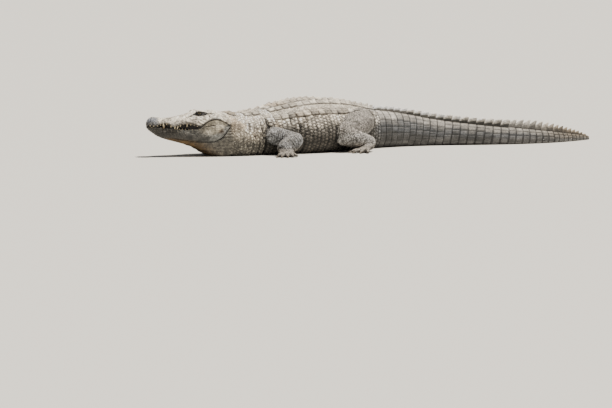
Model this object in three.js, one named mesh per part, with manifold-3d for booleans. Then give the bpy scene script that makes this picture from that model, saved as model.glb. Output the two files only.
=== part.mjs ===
// A mugger crocodile lying on its belly, as a still life-size model: jaws closed and level,
// forelegs planted, hind legs folded, tail swung in a long S.
// Units are millimetres, +Z is up and the floor is z = 0. The origin lies under the middle of the whole.
// +X runs along the trunk towards the tail, and +Y is the animal's right.
// "s" is the distance from the snout tip along the spine, and "v" the distance sideways from it.
import * as THREE from "three";
import { mergeVertices } from "three/addons/utils/BufferGeometryUtils.js";
import Module from "manifold-3d";

// ---------------------------------------------------------------- driving dimensions
const BODY_LENGTH = 3300;
const HEAD_END = 495; // where the head meets the neck
const SHOULDER_S = 740;
const HIP_S = 1434;
const TABLE_END = 458; // rear edge of the flat skull roof
const JOINT_GAP = 0.3; // between pieces that touch
const LIP_GAP = 4; // between the closed jaws
const FLATNESS = 0.3; // faces this close to one plane are merged after a cut

// Direction of the spine in plan: [s, degrees from +X].
const HEADINGS = [
  [0, -17],
  [500, -17],
  [800, 0],
  [1500, 0],
  [2300, -34],
  [BODY_LENGTH, 12],
];

// Cross-sections of neck, trunk and tail:
// [s, half width, top, height of the widest line, roundness above it, roundness below it]
const BODY = [
  [480, 149, 262, 120, 2.3, 2.5],
  [580, 156, 257, 112, 2.3, 2.5],
  [680, 162, 264, 108, 2.2, 2.5],
  [780, 184, 286, 112, 2.1, 2.5],
  [900, 216, 311, 118, 2.0, 2.6],
  [1020, 246, 326, 122, 2.0, 2.6],
  [1150, 258, 329, 124, 2.0, 2.6],
  [1280, 240, 321, 122, 2.0, 2.6],
  [1400, 206, 302, 116, 2.1, 2.6],
  [1500, 176, 277, 110, 2.3, 2.5],
  [1600, 152, 255, 106, 2.6, 2.4],
  [1750, 136, 235, 98, 2.6, 2.4],
  [1900, 118, 211, 88, 2.4, 2.4],
  [2050, 102, 181, 76, 2.2, 2.4],
  [2200, 87, 158, 66, 2.0, 2.4],
  [2400, 69, 134, 54, 1.8, 2.3],
  [2600, 53, 112, 44, 1.6, 2.3],
  [2800, 39, 91, 35, 1.5, 2.2],
  [3000, 27, 68, 26, 1.5, 2.2],
  [3150, 18, 48, 19, 1.5, 2.2],
  [3270, 10, 28, 12, 1.6, 2.2],
  [BODY_LENGTH, 5, 15, 7, 1.8, 2.2],
];
const BELLY_SINK = 0.09; // how far the round belly would pass below the floor, as a share of its height

// Upper head, half of each section: [s, middle top, brow v, brow z, side v, side z]
const SKULL = [
  [3, 212, 10, 211, 16, 206],
  [16, 229, 20, 228, 36, 211],
  [36, 238, 26, 239, 48, 213],
  [60, 243, 27, 243, 52, 214],
  [82, 240, 27, 239, 48, 213],
  [96, 235, 28, 233, 43, 212],
  [116, 235, 36, 231, 55, 208],
  [142, 238, 43, 232, 67, 203],
  [172, 242, 46, 237, 71, 209],
  [205, 246, 48, 243, 74, 213],
  [240, 249, 52, 249, 80, 212],
  [272, 250, 56, 259, 88, 215],
  [300, 251, 60, 274, 98, 220],
  [322, 255, 62, 280, 104, 224],
  [345, 262, 65, 275, 108, 231],
  [372, 267, 66, 271, 110, 238],
  [410, 270, 68, 272, 113, 245],
  [TABLE_END - 8, 269, 70, 271, 119, 241],
  [TABLE_END + 8, 264, 72, 262, 126, 235],
  [HEAD_END, 262, 78, 255, 132, 222],
];
// Half width of the upper lip: [s, v]. It swells over the big teeth and narrows at the notch.
const LIP = [
  [0, 8],
  [8, 29],
  [25, 49],
  [50, 57],
  [72, 54],
  [92, 45],
  [112, 60],
  [140, 77],
  [170, 80],
  [205, 79],
  [240, 88],
  [280, 101],
  [320, 113],
  [360, 123],
  [400, 134],
  [440, 143],
  [HEAD_END, 150],
];
// Height of the mouth line, which runs on as the crease to the jaw joint: [s, z]
const MOUTH = [
  [0, 193],
  [50, 183],
  [92, 187],
  [140, 171],
  [193, 189],
  [255, 168],
  [288, 166],
  [318, 180],
  [345, 205],
  [382, 223],
  [413, 225],
  [447, 213],
  [HEAD_END, 188],
];
// Lower jaw with the throat pouch, half of each section:
// [s, lip v, side v, side z, lower edge v, lower edge z, middle z]
const JAW = [
  [8, 15, 16, 183, 9, 176, 174],
  [25, 36, 38, 173, 24, 161, 158],
  [50, 47, 49, 165, 33, 143, 139],
  [92, 52, 53, 153, 39, 121, 117],
  [140, 61, 65, 147, 47, 106, 101],
  [200, 66, 73, 141, 55, 91, 85],
  [250, 77, 86, 134, 64, 77, 70],
  [300, 90, 101, 126, 76, 60, 51],
  [345, 106, 116, 126, 87, 37, 26],
  [382, 119, 129, 132, 97, 17, 7],
  [420, 129, 140, 130, 106, 4, 0],
  [455, 136, 147, 124, 112, 0, 0],
  [HEAD_END, 140, 150, 116, 118, 0, 0],
];

const EYE = { s: 316, v: 66, z: 259, radius: 16 };

// Teeth: the upper ones hang outside the lower jaw, and the fourth lower one stands in the notch.
const UPPER_TEETH = {
  first: 14,
  last: 200,
  pitch: 20,
  radius: 4.6,
  inset: 5,
  short: 17,
  long: 25,
  lobeAt: 148, // the teeth swell over each lobe of the lip
  lobeLength: 135,
};
const NOTCH_TOOTH = { s: 92, v: 49, radius: 4.6, length: 28 };
const TOOTH_ROOT = 6; // how deep a tooth stands in its own jaw
const TOOTH_GAP = 0.5; // round each tooth, in the other jaw

// The body's lengths, from the neck back. Each has a number of crosswise rows of plates:
// [node, outline, first s, last s, keel height of each row]
const LENGTHS = [
  ["neck", "trunk", HEAD_END, 700, [12, 3, 16, 15]],
  ["chest", "trunk", 700, 1000, [4, 9, 10, 11, 11, 11]],
  ["belly", "trunk", 1000, 1300, [11, 11, 11, 11, 11, 11]],
  ["pelvis", "trunk", 1300, 1600, [11, 11, 12, 14, 17, 20]],
  ["tail_1", "twinCrest", 1600, 1870, [24, 26, 28, 29, 30]],
  ["tail_2", "twinCrest", 1870, 2140, [31, 32, 33, 34, 34]],
  ["tail_3", "twinCrest", 2140, 2410, [35, 36, 36, 37, 38]],
  ["tail_4", "twinCrest", 2410, 2572, [40, 42, 44]],
  ["tail_5", "crest", 2572, 2908, [47, 50, 52, 52, 50, 47, 43]],
  ["tail_6", "crest", 2908, BODY_LENGTH, [39, 35, 31, 27, 23, 19, 14, 9, 4]],
];
const PEAK = 0.88; // each keel is highest this far back along its plate
const LOW = 0.2; // and this share of its height at the plate's front edge
const CREST_FOOT = 8; // half thickness of a crest scute at its foot
// The two crests of the tail's first part draw together, as shares of its half width, and lean outwards.
const TWIN_CREST = { first: 1600, last: 2572, from: 0.5, to: 0.17, flare: 0.3 };

// Limbs are given by their joints, for the left side, from the spine at the shoulder or hip: [x, y, z].
const FORELEG = {
  upper: { joints: [[-20, -128, 118], [20, -198, 114], [82, -250, 97]], radii: [58, 51, 45] },
  lower: { joints: [[84, -252, 92], [36, -272, 76], [-18, -284, 52]], radii: [50, 54, 50] },
  wrist: [-20, -290, 42],
  knuckles: [-50, -346, 15],
  palm: { half: [46, 48], thick: [38, 22] },
  toes: [
    { turn: -42, length: 36 },
    { turn: -22, length: 47 },
    { turn: -2, length: 51 },
    { turn: 18, length: 46 },
    { turn: 40, length: 36 },
  ],
  toeRadius: 12,
  claw: { length: 24, radius: 5.2 },
};
const HINDLEG = {
  upper: { joints: [[15, -116, 172], [-130, -208, 150], [-220, -256, 114]], radii: [96, 86, 66] },
  lower: { joints: [[-222, -262, 100], [-150, -288, 84], [-60, -302, 60]], radii: [62, 54, 42] },
  wrist: [-62, -306, 44],
  knuckles: [-152, -350, 18],
  palm: { half: [38, 48], thick: [36, 16] },
  toes: [
    { turn: -24, length: 72 },
    { turn: -8, length: 92 },
    { turn: 9, length: 96 },
    { turn: 27, length: 84 },
  ],
  toeRadius: 12.5,
  claw: { length: 29, radius: 6.2 },
  web: { thickness: 7, under: 2, reach: 0.72, dip: 0.35 },
};
const CLAWED_TOES = 3;
const LIMB_GAP = 0.6; // between the pieces of a limb
const RIGHT_SHIFT = { foreleg: -22, hindleg: 16 }; // the right legs aren't quite level with the left

// ---------------------------------------------------------------- curves and frames
const lerp = THREE.MathUtils.lerp;

// A smooth curve through the rows of a table, read at its first column.
function sample(table, at) {
  const last = table.length - 1;
  let i = table.findIndex((row) => row[0] > at) - 1;
  if (i === -2) i = last - 1;
  i = THREE.MathUtils.clamp(i, 0, last - 1);
  const [a, b] = [table[i], table[i + 1]];
  const [before, after] = [table[Math.max(i - 1, 0)], table[Math.min(i + 2, last)]];
  const span = b[0] - a[0];
  const t = THREE.MathUtils.clamp((at - a[0]) / span, 0, 1);
  return a.slice(1).map((value, k) => {
    const column = k + 1;
    const slopeA = ((b[column] - before[column]) / (b[0] - before[0])) * span;
    const slopeB = ((after[column] - a[column]) / (after[0] - a[0])) * span;
    const [t2, t3] = [t * t, t * t * t];
    return (
      value * (2 * t3 - 3 * t2 + 1) +
      slopeA * (t3 - 2 * t2 + t) +
      b[column] * (3 * t2 - 2 * t3) +
      slopeB * (t3 - t2)
    );
  });
}

function heading(s) {
  const next = Math.max(1, HEADINGS.findIndex(([at]) => at >= s));
  const [[a, from], [b, to]] = [HEADINGS[next - 1], HEADINGS[next]];
  const degrees = lerp(from, to, THREE.MathUtils.smoothstep(s, a, b));
  return THREE.MathUtils.degToRad(degrees);
}

// The spine in plan, added up in short steps from the snout tip.
const SPINE_STEP = 5;
const spine = [new THREE.Vector2(0, 0)];
for (let s = SPINE_STEP / 2; s < BODY_LENGTH + SPINE_STEP; s += SPINE_STEP) {
  const step = new THREE.Vector2(Math.cos(heading(s)), Math.sin(heading(s)));
  spine.push(spine.at(-1).clone().addScaledVector(step, SPINE_STEP));
}

function place(s, v, z) {
  const k = Math.min(Math.floor(s / SPINE_STEP), spine.length - 2);
  const point = spine[k].clone().lerp(spine[k + 1], s / SPINE_STEP - k);
  const angle = heading(s);
  return new THREE.Vector3(point.x - v * Math.sin(angle), point.y + v * Math.cos(angle), z);
}

// ---------------------------------------------------------------- solids
const wasm = await Module();
wasm.setup();

// A solid from triangles that all face the same way, turned outwards.
function toSolid(points, triangles) {
  let volume = 0;
  for (let i = 0; i < triangles.length; i += 3) {
    const [a, b, c] = triangles.slice(i, i + 3).map((k) => points[k]);
    volume += new THREE.Vector3().crossVectors(a, b).dot(c);
  }
  const geometry = new THREE.BufferGeometry().setFromPoints(points);
  geometry.setIndex(volume > 0 ? triangles : [...triangles].reverse());
  const merged = mergeVertices(geometry, 1e-3);
  const mesh = new wasm.Mesh({
    numProp: 3,
    vertProperties: merged.attributes.position.array,
    triVerts: new Uint32Array(merged.index.array),
  });
  return new wasm.Manifold(mesh);
}

// A whole section from half of one: mirrored points, with the two ends on the middle plane.
function mirrored(s, half, lowest = 0) {
  const right = half.map(([v, z]) => place(s, v, Math.max(z, lowest)));
  const left = half.slice(1, -1).map(([v, z]) => place(s, -v, Math.max(z, lowest)));
  return [...right, ...left.reverse()];
}

// A closed solid through rings of equally many points, fanned shut at both ends.
function loft(rings) {
  const sides = rings[0].length;
  const points = rings.flat();
  const triangles = [];
  for (let r = 0; r < rings.length - 1; r++)
    for (let i = 0; i < sides; i++) {
      const j = (i + 1) % sides;
      const [a, b, c, d] = [r * sides + i, r * sides + j, (r + 1) * sides + j, (r + 1) * sides + i];
      triangles.push(a, b, c, a, c, d);
    }
  for (const [ring, turned] of [[rings[0], true], [rings.at(-1), false]]) {
    const middle = points.length;
    const start = turned ? 0 : (rings.length - 1) * sides;
    points.push(ring.reduce((sum, p) => sum.add(p), new THREE.Vector3()).divideScalar(sides));
    for (let i = 0; i < sides; i++) {
      const j = (i + 1) % sides;
      triangles.push(middle, start + (turned ? j : i), start + (turned ? i : j));
    }
  }
  return toSolid(points, triangles);
}

const unite = (solids) => solids.reduce((whole, solid) => whole.add(solid));
const cut = (solid, tools) => tools.reduce((rest, tool) => rest.subtract(tool), solid);

// The biggest piece, without the slivers that a cut may leave.
function largest(solid) {
  const best = (one, other) => (other.volume() > one.volume() ? other : one);
  return solid.simplify(FLATNESS).decompose().reduce(best);
}

// ---------------------------------------------------------------- neck, trunk and tail
// Corners of the upper outline on one side, from the middle out:
// [share of the half width, share of the keel height]. The trunk has three lines of keels a side.
const OUTLINES = {
  trunk: () => [[0, 0], [0.13, 1], [0.25, 0], [0.38, 1], [0.5, 0], [0.66, 0.8], [0.88, 0]],
  twinCrest: (s, half) => {
    const along = (s - TWIN_CREST.first) / (TWIN_CREST.last - TWIN_CREST.first);
    const [crest, foot] = [lerp(TWIN_CREST.from, TWIN_CREST.to, along), CREST_FOOT / half];
    return [[0, 0], [crest - foot, 0], [crest, 1], [crest + foot, 0], [0.82, 0]];
  },
  crest: (s, half) => [[0, 1], [Math.min(CREST_FOOT / half, 0.35), 0], [0.75, 0]],
};
// Directions of the corners from the widest line down, in degrees.
const UNDERSIDE_ANGLES = { trunk: [0, 25, 50, 90], twinCrest: [0, 25, 50, 90], crest: [0, 45, 90] };

function bodyRing(s, outline, keel, grow) {
  const [half, top, level, above, below] = sample(BODY, s);
  const heightAt = (share) => level + (top - level) * (1 - share ** above) ** (1 / above);
  const upper = OUTLINES[outline](s, half).map(([share, raised]) => {
    const lean = outline === "twinCrest" ? TWIN_CREST.flare * keel * raised : 0;
    return [share * (half + grow) + lean, heightAt(share) + keel * raised + grow];
  });
  const lower = UNDERSIDE_ANGLES[outline].map((degrees) => {
    const angle = THREE.MathUtils.degToRad(degrees);
    const v = (half + grow) * Math.cos(angle) ** (2 / below);
    const z = level - (level + top * BELLY_SINK) * Math.sin(angle) ** (2 / below);
    return [degrees === 90 ? 0 : v, z];
  });
  return mirrored(s, [...upper, ...lower], -grow);
}

// A length of the body. Its rings alternate between the front edges and the peaks of the plates.
function bodyLength([, outline, first, last, keels], grow = 0) {
  const pitch = (last - first) / keels.length;
  const [start, end] = [first + JOINT_GAP / 2 - grow, last - JOINT_GAP / 2 + grow];
  const rings = keels.flatMap((keel, k) => [
    bodyRing(Math.max(first + k * pitch, start), outline, keel * LOW, grow),
    bodyRing(first + (k + PEAK) * pitch, outline, keel, grow),
  ]);
  return loft([...rings, bodyRing(end, outline, keels.at(-1) * LOW, grow)]);
}

// ---------------------------------------------------------------- head
const lip = (s) => sample(LIP, s)[0];
const mouth = (s) => sample(MOUTH, s)[0];

function between(a, b, share, bulge) {
  return [lerp(a[0], b[0], share) + bulge, lerp(a[1], b[1], share) + bulge];
}

function skullRing(s) {
  const [top, browV, browZ, sideV, sideZ] = sample(SKULL, s);
  const [edge, floor] = [lip(s), mouth(s) + LIP_GAP / 2];
  const [brow, side, rim] = [[browV, browZ], [sideV, sideZ], [edge, Math.min(floor + 7, sideZ - 4)]];
  return mirrored(s, [
    [0, floor],
    [edge - 7, floor],
    rim,
    side,
    between(side, brow, 0.5, 1.5),
    brow,
    [browV * 0.5, lerp(top, browZ, 0.35)],
    [0, top],
  ]);
}

function jawRing(s) {
  const [edge, sideV, sideZ, lowV, lowZ, keel] = sample(JAW, s);
  const roof = mouth(s) - LIP_GAP / 2;
  return mirrored(s, [
    [0, keel],
    [lowV, lowZ],
    between([lowV, lowZ], [sideV, sideZ], 0.45, 3),
    [sideV, sideZ],
    [edge, roof - 5],
    [edge - 6, roof],
    [0, roof],
  ]);
}

const SKULL_STATIONS = [
  ...[3, 14, 28, 50, 70, 92, 114, 140, 166, 193, 222, 255, 288, 318, 345, 376, 412, TABLE_END],
  HEAD_END - JOINT_GAP / 2,
];
const JAW_STATIONS = SKULL_STATIONS.filter((s) => s > JAW[0][0]);

function tooth({ s, v, base, length, radius, lean }) {
  const sides = 3;
  const ring = (share, reach) =>
    Array.from({ length: sides }, (_, i) => {
      const angle = (2 * Math.PI * i) / sides;
      return place(
        s + Math.cos(angle) * radius * share,
        v + Math.sin(angle) * radius * share + lean * reach,
        base + length * reach,
      );
    });
  return loft([ring(1, -0.3), ring(0.15, 1)]);
}

function upperTeeth(grow) {
  const { first, last, pitch, radius, inset, short, long, lobeAt, lobeLength } = UPPER_TEETH;
  const teeth = [];
  for (let s = first; s <= last; s += pitch) {
    if (Math.abs(s - NOTCH_TOOTH.s) < pitch * 0.7) continue;
    const swell = (1 + Math.cos(((s - lobeAt) / lobeLength) * 2 * Math.PI)) / 2;
    const length = -lerp(short, long, swell) - grow;
    const shape = { s, base: mouth(s) + TOOTH_ROOT, length, radius: radius + grow, lean: 0 };
    for (const side of [-1, 1]) teeth.push({ ...shape, v: side * (lip(s) - inset) });
  }
  return teeth.map(tooth);
}

function notchTeeth(grow) {
  return [-1, 1].map((side) =>
    tooth({
      s: NOTCH_TOOTH.s,
      v: side * NOTCH_TOOTH.v,
      base: mouth(NOTCH_TOOTH.s) - TOOTH_ROOT,
      length: NOTCH_TOOTH.length,
      radius: NOTCH_TOOTH.radius + grow,
      lean: -side * 2,
    }),
  );
}

const eyeCentre = (side) => place(EYE.s, side * EYE.v, EYE.z);

function ball(centre, radius) {
  const sphere = new THREE.SphereGeometry(radius, 10, 6).translate(...centre);
  ["normal", "uv"].forEach((name) => sphere.deleteAttribute(name));
  const { attributes, index } = mergeVertices(sphere, 1e-3);
  const points = Array.from({ length: attributes.position.count }, (_, i) =>
    new THREE.Vector3().fromBufferAttribute(attributes.position, i),
  );
  return toSolid(points, [...index.array]);
}

function headNodes() {
  const sockets = [-1, 1].map((side) => ball(eyeCentre(side), EYE.radius + JOINT_GAP));
  const skull = loft(SKULL_STATIONS.map(skullRing));
  const mandible = loft(JAW_STATIONS.map(jawRing));
  return [
    ["head", largest(unite([cut(skull, [...sockets, ...notchTeeth(TOOTH_GAP)]), ...upperTeeth(0)]))],
    ["jaw", largest(cut(unite([mandible, ...notchTeeth(0)]), upperTeeth(TOOTH_GAP)))],
    ["eye_left", ball(eyeCentre(-1), EYE.radius)],
    ["eye_right", ball(eyeCentre(1), EYE.radius)],
  ];
}

// ---------------------------------------------------------------- limbs
const CAP = 0.75; // how far out a limb's round end is cut flat, as a share of its radius

// A round-ended limb along a smooth curve. Sections stand square to the curve and stay above the floor.
function limbPart({ joints, radii }, grow = 0) {
  const sides = 8;
  const curve = new THREE.CatmullRomCurve3(joints.map((p) => new THREE.Vector3(...p)));
  const radiusAt = (t) => sample(radii.map((r, i) => [i / (radii.length - 1), r]), t)[0] + grow;
  const up = new THREE.Vector3(0, 0, 1);
  const ring = (t, shift, scale) => {
    const tangent = curve.getTangent(t);
    const centre = curve.getPoint(t).addScaledVector(tangent, shift);
    const across = new THREE.Vector3().crossVectors(up, tangent).normalize();
    const rise = new THREE.Vector3().crossVectors(tangent, across);
    const radius = radiusAt(t) * scale;
    return Array.from({ length: sides }, (_, i) => {
      const angle = (2 * Math.PI * i) / sides;
      const point = centre
        .clone()
        .addScaledVector(across, radius * Math.cos(angle))
        .addScaledVector(rise, radius * Math.sin(angle));
      point.z = Math.max(point.z, -grow);
      return point;
    });
  };
  const cap = (t, direction) => ring(t, direction * CAP * radiusAt(t), Math.sqrt(1 - CAP * CAP));
  const length = [0, 0.25, 0.5, 0.75, 1].map((t) => ring(t, 0, 1));
  return loft([cap(0, -1), ...length, cap(1, 1)]);
}

// A bar of oval sections along a line of points, for palms and toes.
function bar(points, halves, thicks, sides) {
  const last = points.length - 1;
  return loft(
    points.map((point, k) => {
      const along = points[Math.min(k + 1, last)].clone().sub(points[Math.max(k - 1, 0)]).setZ(0).normalize();
      const across = new THREE.Vector3(-along.y, along.x, 0);
      return Array.from({ length: sides }, (_, i) => {
        const angle = (2 * Math.PI * (i + 0.5)) / sides;
        const corner = point.clone().addScaledVector(across, halves[k] * Math.cos(angle));
        return corner.setZ(Math.max(point.z + thicks[k] * Math.sin(angle), 0));
      });
    }),
  );
}

// Where each toe runs: from the knuckles, over one raised joint, down to its tip.
function toeLine(limb, { turn, length }) {
  const [wrist, knuckles] = [limb.wrist, limb.knuckles].map((p) => new THREE.Vector3(...p));
  const axis = knuckles.clone().sub(wrist).setZ(0).normalize();
  const across = new THREE.Vector3(-axis.y, axis.x, 0);
  const angle = THREE.MathUtils.degToRad(turn);
  const direction = axis.clone().multiplyScalar(Math.cos(angle)).addScaledVector(across, Math.sin(angle));
  const root = knuckles
    .clone()
    .addScaledVector(across, Math.sin(angle) * limb.palm.half[1] * 1.1)
    .addScaledVector(axis, -limb.toeRadius);
  const radius = limb.toeRadius;
  const at = (share, z) => root.clone().addScaledVector(direction, length * share).setZ(z);
  return {
    direction,
    points: [at(0, radius * 1.2), at(0.5, radius * 1.15), at(1, radius * 0.7)],
    radii: [radius * 1.15, radius, radius * 0.7],
  };
}

function claw(limb, line) {
  const { length, radius } = limb.claw;
  const tip = line.points.at(-1);
  const across = new THREE.Vector3(-line.direction.y, line.direction.x, 0);
  const sides = 4;
  const ring = (reach, z, size) =>
    Array.from({ length: sides }, (_, i) => {
      const angle = (2 * Math.PI * i) / sides;
      return tip
        .clone()
        .addScaledVector(line.direction, reach)
        .addScaledVector(across, size * 0.8 * Math.cos(angle))
        .setZ(Math.max(z + size * Math.sin(angle), 0));
    });
  return loft([
    ring(JOINT_GAP, radius * 1.35, radius),
    ring(length * 0.5, radius * 1.4, radius * 0.8),
    ring(length, radius * 0.3, radius * 0.12),
  ]);
}

// The heel, wrist, middle and knuckles of a palm:
// [share of the way from wrist to knuckles, share of the change in size, scale]
const PALM_SECTIONS = [[-0.22, 0, 0.7], [0, 0, 1], [0.5, 0.6, 1], [1, 1, 1]];

function foot(limb, lines) {
  const [wrist, knuckles] = [limb.wrist, limb.knuckles].map((p) => new THREE.Vector3(...p));
  const { half, thick } = limb.palm;
  const palm = bar(
    PALM_SECTIONS.map(([along]) => wrist.clone().lerp(knuckles, along)),
    PALM_SECTIONS.map(([, spread, size]) => lerp(...half, spread) * size),
    PALM_SECTIONS.map(([, spread, size]) => lerp(...thick, spread) * size),
    8,
  );
  const toes = lines.map(({ points, radii }) => bar(points, radii, radii, 5));
  return unite([palm, ...toes, ...(limb.web ? [web(limb.web, lines)] : [])]);
}

// The skin between the toes: one sheet whose front edge dips between each two of them.
function web({ thickness, under, reach, dip }, lines) {
  const root = ({ points }) => points[0];
  const tip = ({ points }) => points[0].clone().lerp(points.at(-1), reach);
  const edge = lines.flatMap((line, k) => {
    if (k === 0) return [tip(line)];
    const between = tip(lines[k - 1]).lerp(tip(line), 0.5);
    const roots = root(lines[k - 1]).clone().lerp(root(line), 0.5);
    return [between.lerp(roots, dip), tip(line)];
  });
  const outline = [root(lines[0]), ...edge, root(lines.at(-1))];
  return loft([under, under + thickness].map((z) => outline.map((p) => p.clone().setZ(z))));
}

// Mirrors a limb to the right side and slides it along the body.
function rightSide(limb, shift) {
  const swap = ([x, y, z]) => [x + shift, -y, z];
  return {
    ...limb,
    upper: { ...limb.upper, joints: limb.upper.joints.map(swap) },
    lower: { ...limb.lower, joints: limb.lower.joints.map(swap) },
    wrist: swap(limb.wrist),
    knuckles: swap(limb.knuckles),
    toes: limb.toes.map((toe) => ({ ...toe, turn: -toe.turn })),
  };
}

// Moves a limb's points from the spine at its girdle into the part's frame.
function onSpine(limb, s) {
  const root = place(s, 0, 0);
  const move = ([x, y, z]) => [x + root.x, y + root.y, z];
  return {
    ...limb,
    upper: { ...limb.upper, joints: limb.upper.joints.map(move) },
    lower: { ...limb.lower, joints: limb.lower.joints.map(move) },
    wrist: move(limb.wrist),
    knuckles: move(limb.knuckles),
  };
}

// The trunk cuts the limb, and each piece of the limb cuts the next one down.
function limbNodes(limb, [upperName, lowerName, footName], side) {
  const lines = limb.toes.map((toe) => toeLine(limb, toe));
  const claws = lines.slice(0, CLAWED_TOES).map((line) => claw(limb, line));
  const [upperTool, lowerTool] = [limb.upper, limb.lower].map((part) => limbPart(part, LIMB_GAP));
  const upper = largest(cut(limbPart(limb.upper), [trunk]));
  const lower = largest(cut(limbPart(limb.lower), [trunk, upperTool]));
  return [
    [`${upperName}_${side}`, upper],
    [`${lowerName}_${side}`, lower],
    [`${footName}_${side}`, largest(cut(foot(limb, lines), [trunk, upperTool, lowerTool]))],
    ...claws.map((solid, k) => [`${footName}_claw_${k + 1}_${side}`, solid]),
  ];
}

// ---------------------------------------------------------------- the model
const FINISHES = {
  skin: new THREE.MeshStandardMaterial({ color: 0x857c6b, roughness: 0.85, metalness: 0 }),
  jaw: new THREE.MeshStandardMaterial({ color: 0x8d8370, roughness: 0.85, metalness: 0 }),
  eye: new THREE.MeshStandardMaterial({ color: 0x3a3018, roughness: 0.2, metalness: 0 }),
  claw: new THREE.MeshStandardMaterial({ color: 0x37322c, roughness: 0.5, metalness: 0 }),
};

function finishOf(name) {
  const kind = ["claw", "eye", "jaw"].find((word) => name.includes(word));
  return FINISHES[kind ?? "skin"];
}

const bodyNodes = LENGTHS.map((length) => [length[0], bodyLength(length)]);
const TRUNK_LENGTHS = 5; // from the neck to the tail's root, which the limbs lie against
const trunk = unite(LENGTHS.slice(0, TRUNK_LENGTHS).map((length) => bodyLength(length, JOINT_GAP)));
const forelegNames = ["upper_arm", "forearm", "hand"];
const hindlegNames = ["thigh", "shank", "foot"];
const nodes = [
  ...headNodes(),
  ...bodyNodes,
  ...limbNodes(onSpine(FORELEG, SHOULDER_S), forelegNames, "left"),
  ...limbNodes(onSpine(rightSide(FORELEG, RIGHT_SHIFT.foreleg), SHOULDER_S), forelegNames, "right"),
  ...limbNodes(onSpine(HINDLEG, HIP_S), hindlegNames, "left"),
  ...limbNodes(onSpine(rightSide(HINDLEG, RIGHT_SHIFT.hindleg), HIP_S), hindlegNames, "right"),
];

const crocodile = new THREE.Group();
for (const [name, solid] of nodes) {
  const { vertProperties, triVerts } = solid.getMesh();
  const geometry = new THREE.BufferGeometry();
  geometry.setAttribute("position", new THREE.BufferAttribute(vertProperties, 3));
  geometry.setIndex(new THREE.BufferAttribute(triVerts, 1));
  geometry.computeVertexNormals();
  const mesh = new THREE.Mesh(geometry, finishOf(name));
  mesh.name = name;
  crocodile.add(mesh);
}
const bounds = new THREE.Box3().setFromObject(crocodile);
const middle = bounds.getCenter(new THREE.Vector3());
crocodile.position.set(-middle.x, -middle.y, -bounds.min.z);
const model = new THREE.Group();
model.add(crocodile);

export default model;
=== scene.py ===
"""The looks of a life-size mugger crocodile lying on its belly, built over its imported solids.

Lengths are millimetres until a mesh is written, which is in metres. +X runs along the trunk towards
the tail, +Y is the animal's right, +Z is up and the floor is z = 0. "s" is the distance from the
snout tip along the spine, "v" the distance sideways from it, and "q" how far round a section a point
is, from 0 at the top to 1 at the bottom.
"""

import bmesh
import bpy
import numpy as np
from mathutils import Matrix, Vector
from mathutils.bvhtree import BVHTree
from mathutils.kdtree import KDTree


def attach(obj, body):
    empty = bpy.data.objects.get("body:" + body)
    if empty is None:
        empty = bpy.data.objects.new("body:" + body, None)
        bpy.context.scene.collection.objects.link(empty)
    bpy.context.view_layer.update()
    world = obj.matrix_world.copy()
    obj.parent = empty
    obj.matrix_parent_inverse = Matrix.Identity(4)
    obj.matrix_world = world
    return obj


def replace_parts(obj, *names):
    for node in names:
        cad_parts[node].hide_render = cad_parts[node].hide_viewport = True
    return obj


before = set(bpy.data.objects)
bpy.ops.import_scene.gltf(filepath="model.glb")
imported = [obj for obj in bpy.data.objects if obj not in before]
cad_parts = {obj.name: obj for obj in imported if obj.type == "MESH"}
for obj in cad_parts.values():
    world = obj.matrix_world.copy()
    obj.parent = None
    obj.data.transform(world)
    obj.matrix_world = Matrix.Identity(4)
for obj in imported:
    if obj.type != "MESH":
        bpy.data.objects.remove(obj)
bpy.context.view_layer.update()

# ---------------------------------------------------------------- driving dimensions
MM = 0.001
SNOUT_TIP = np.array([-1582.28, 214.68, 0.0])  # the floor under it, in the frame
BODY_LENGTH = 3300
HEAD_END = 495
SHOULDER_S = 740
HIP_S = 1434
COAT_DEPTH = 3.0  # how far the skin lies inside the solids
LIMB_COAT_DEPTH = 2.4
FLOOR_LIFT = 1.5  # height of the skin's lowest points; the belly's scales fill the gap to the floor
VOXEL = 4.0
SEED = 7

# Which way the spine runs from above: [s, degrees from +X]
HEADINGS = [[0, -17], [500, -17], [800, 0], [1500, 0], [2300, -34], [BODY_LENGTH, 12]]

# [s, half width, top, height of the widest line, roundness above it, roundness below it]
BODY = [
    [480, 149, 262, 120, 2.3, 2.5],
    [580, 156, 257, 112, 2.3, 2.5],
    [680, 162, 264, 108, 2.2, 2.5],
    [780, 184, 286, 112, 2.1, 2.5],
    [900, 216, 311, 118, 2.0, 2.6],
    [1020, 246, 326, 122, 2.0, 2.6],
    [1150, 258, 329, 124, 2.0, 2.6],
    [1280, 240, 321, 122, 2.0, 2.6],
    [1400, 206, 302, 116, 2.1, 2.6],
    [1500, 176, 277, 110, 2.3, 2.5],
    [1600, 152, 255, 106, 2.6, 2.4],
    [1750, 136, 235, 98, 2.6, 2.4],
    [1900, 118, 211, 88, 2.4, 2.4],
    [2050, 102, 181, 76, 2.2, 2.4],
    [2200, 87, 158, 66, 2.0, 2.4],
    [2400, 69, 134, 54, 1.8, 2.3],
    [2600, 53, 112, 44, 1.6, 2.3],
    [2800, 39, 91, 35, 1.5, 2.2],
    [3000, 27, 68, 26, 1.5, 2.2],
    [3150, 18, 48, 19, 1.5, 2.2],
    [3270, 10, 28, 12, 1.6, 2.2],
    [BODY_LENGTH, 5, 15, 7, 1.8, 2.2],
]
BELLY_SINK = 0.09  # how far below the floor a section's lowest point is drawn, as a share of its top

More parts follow.
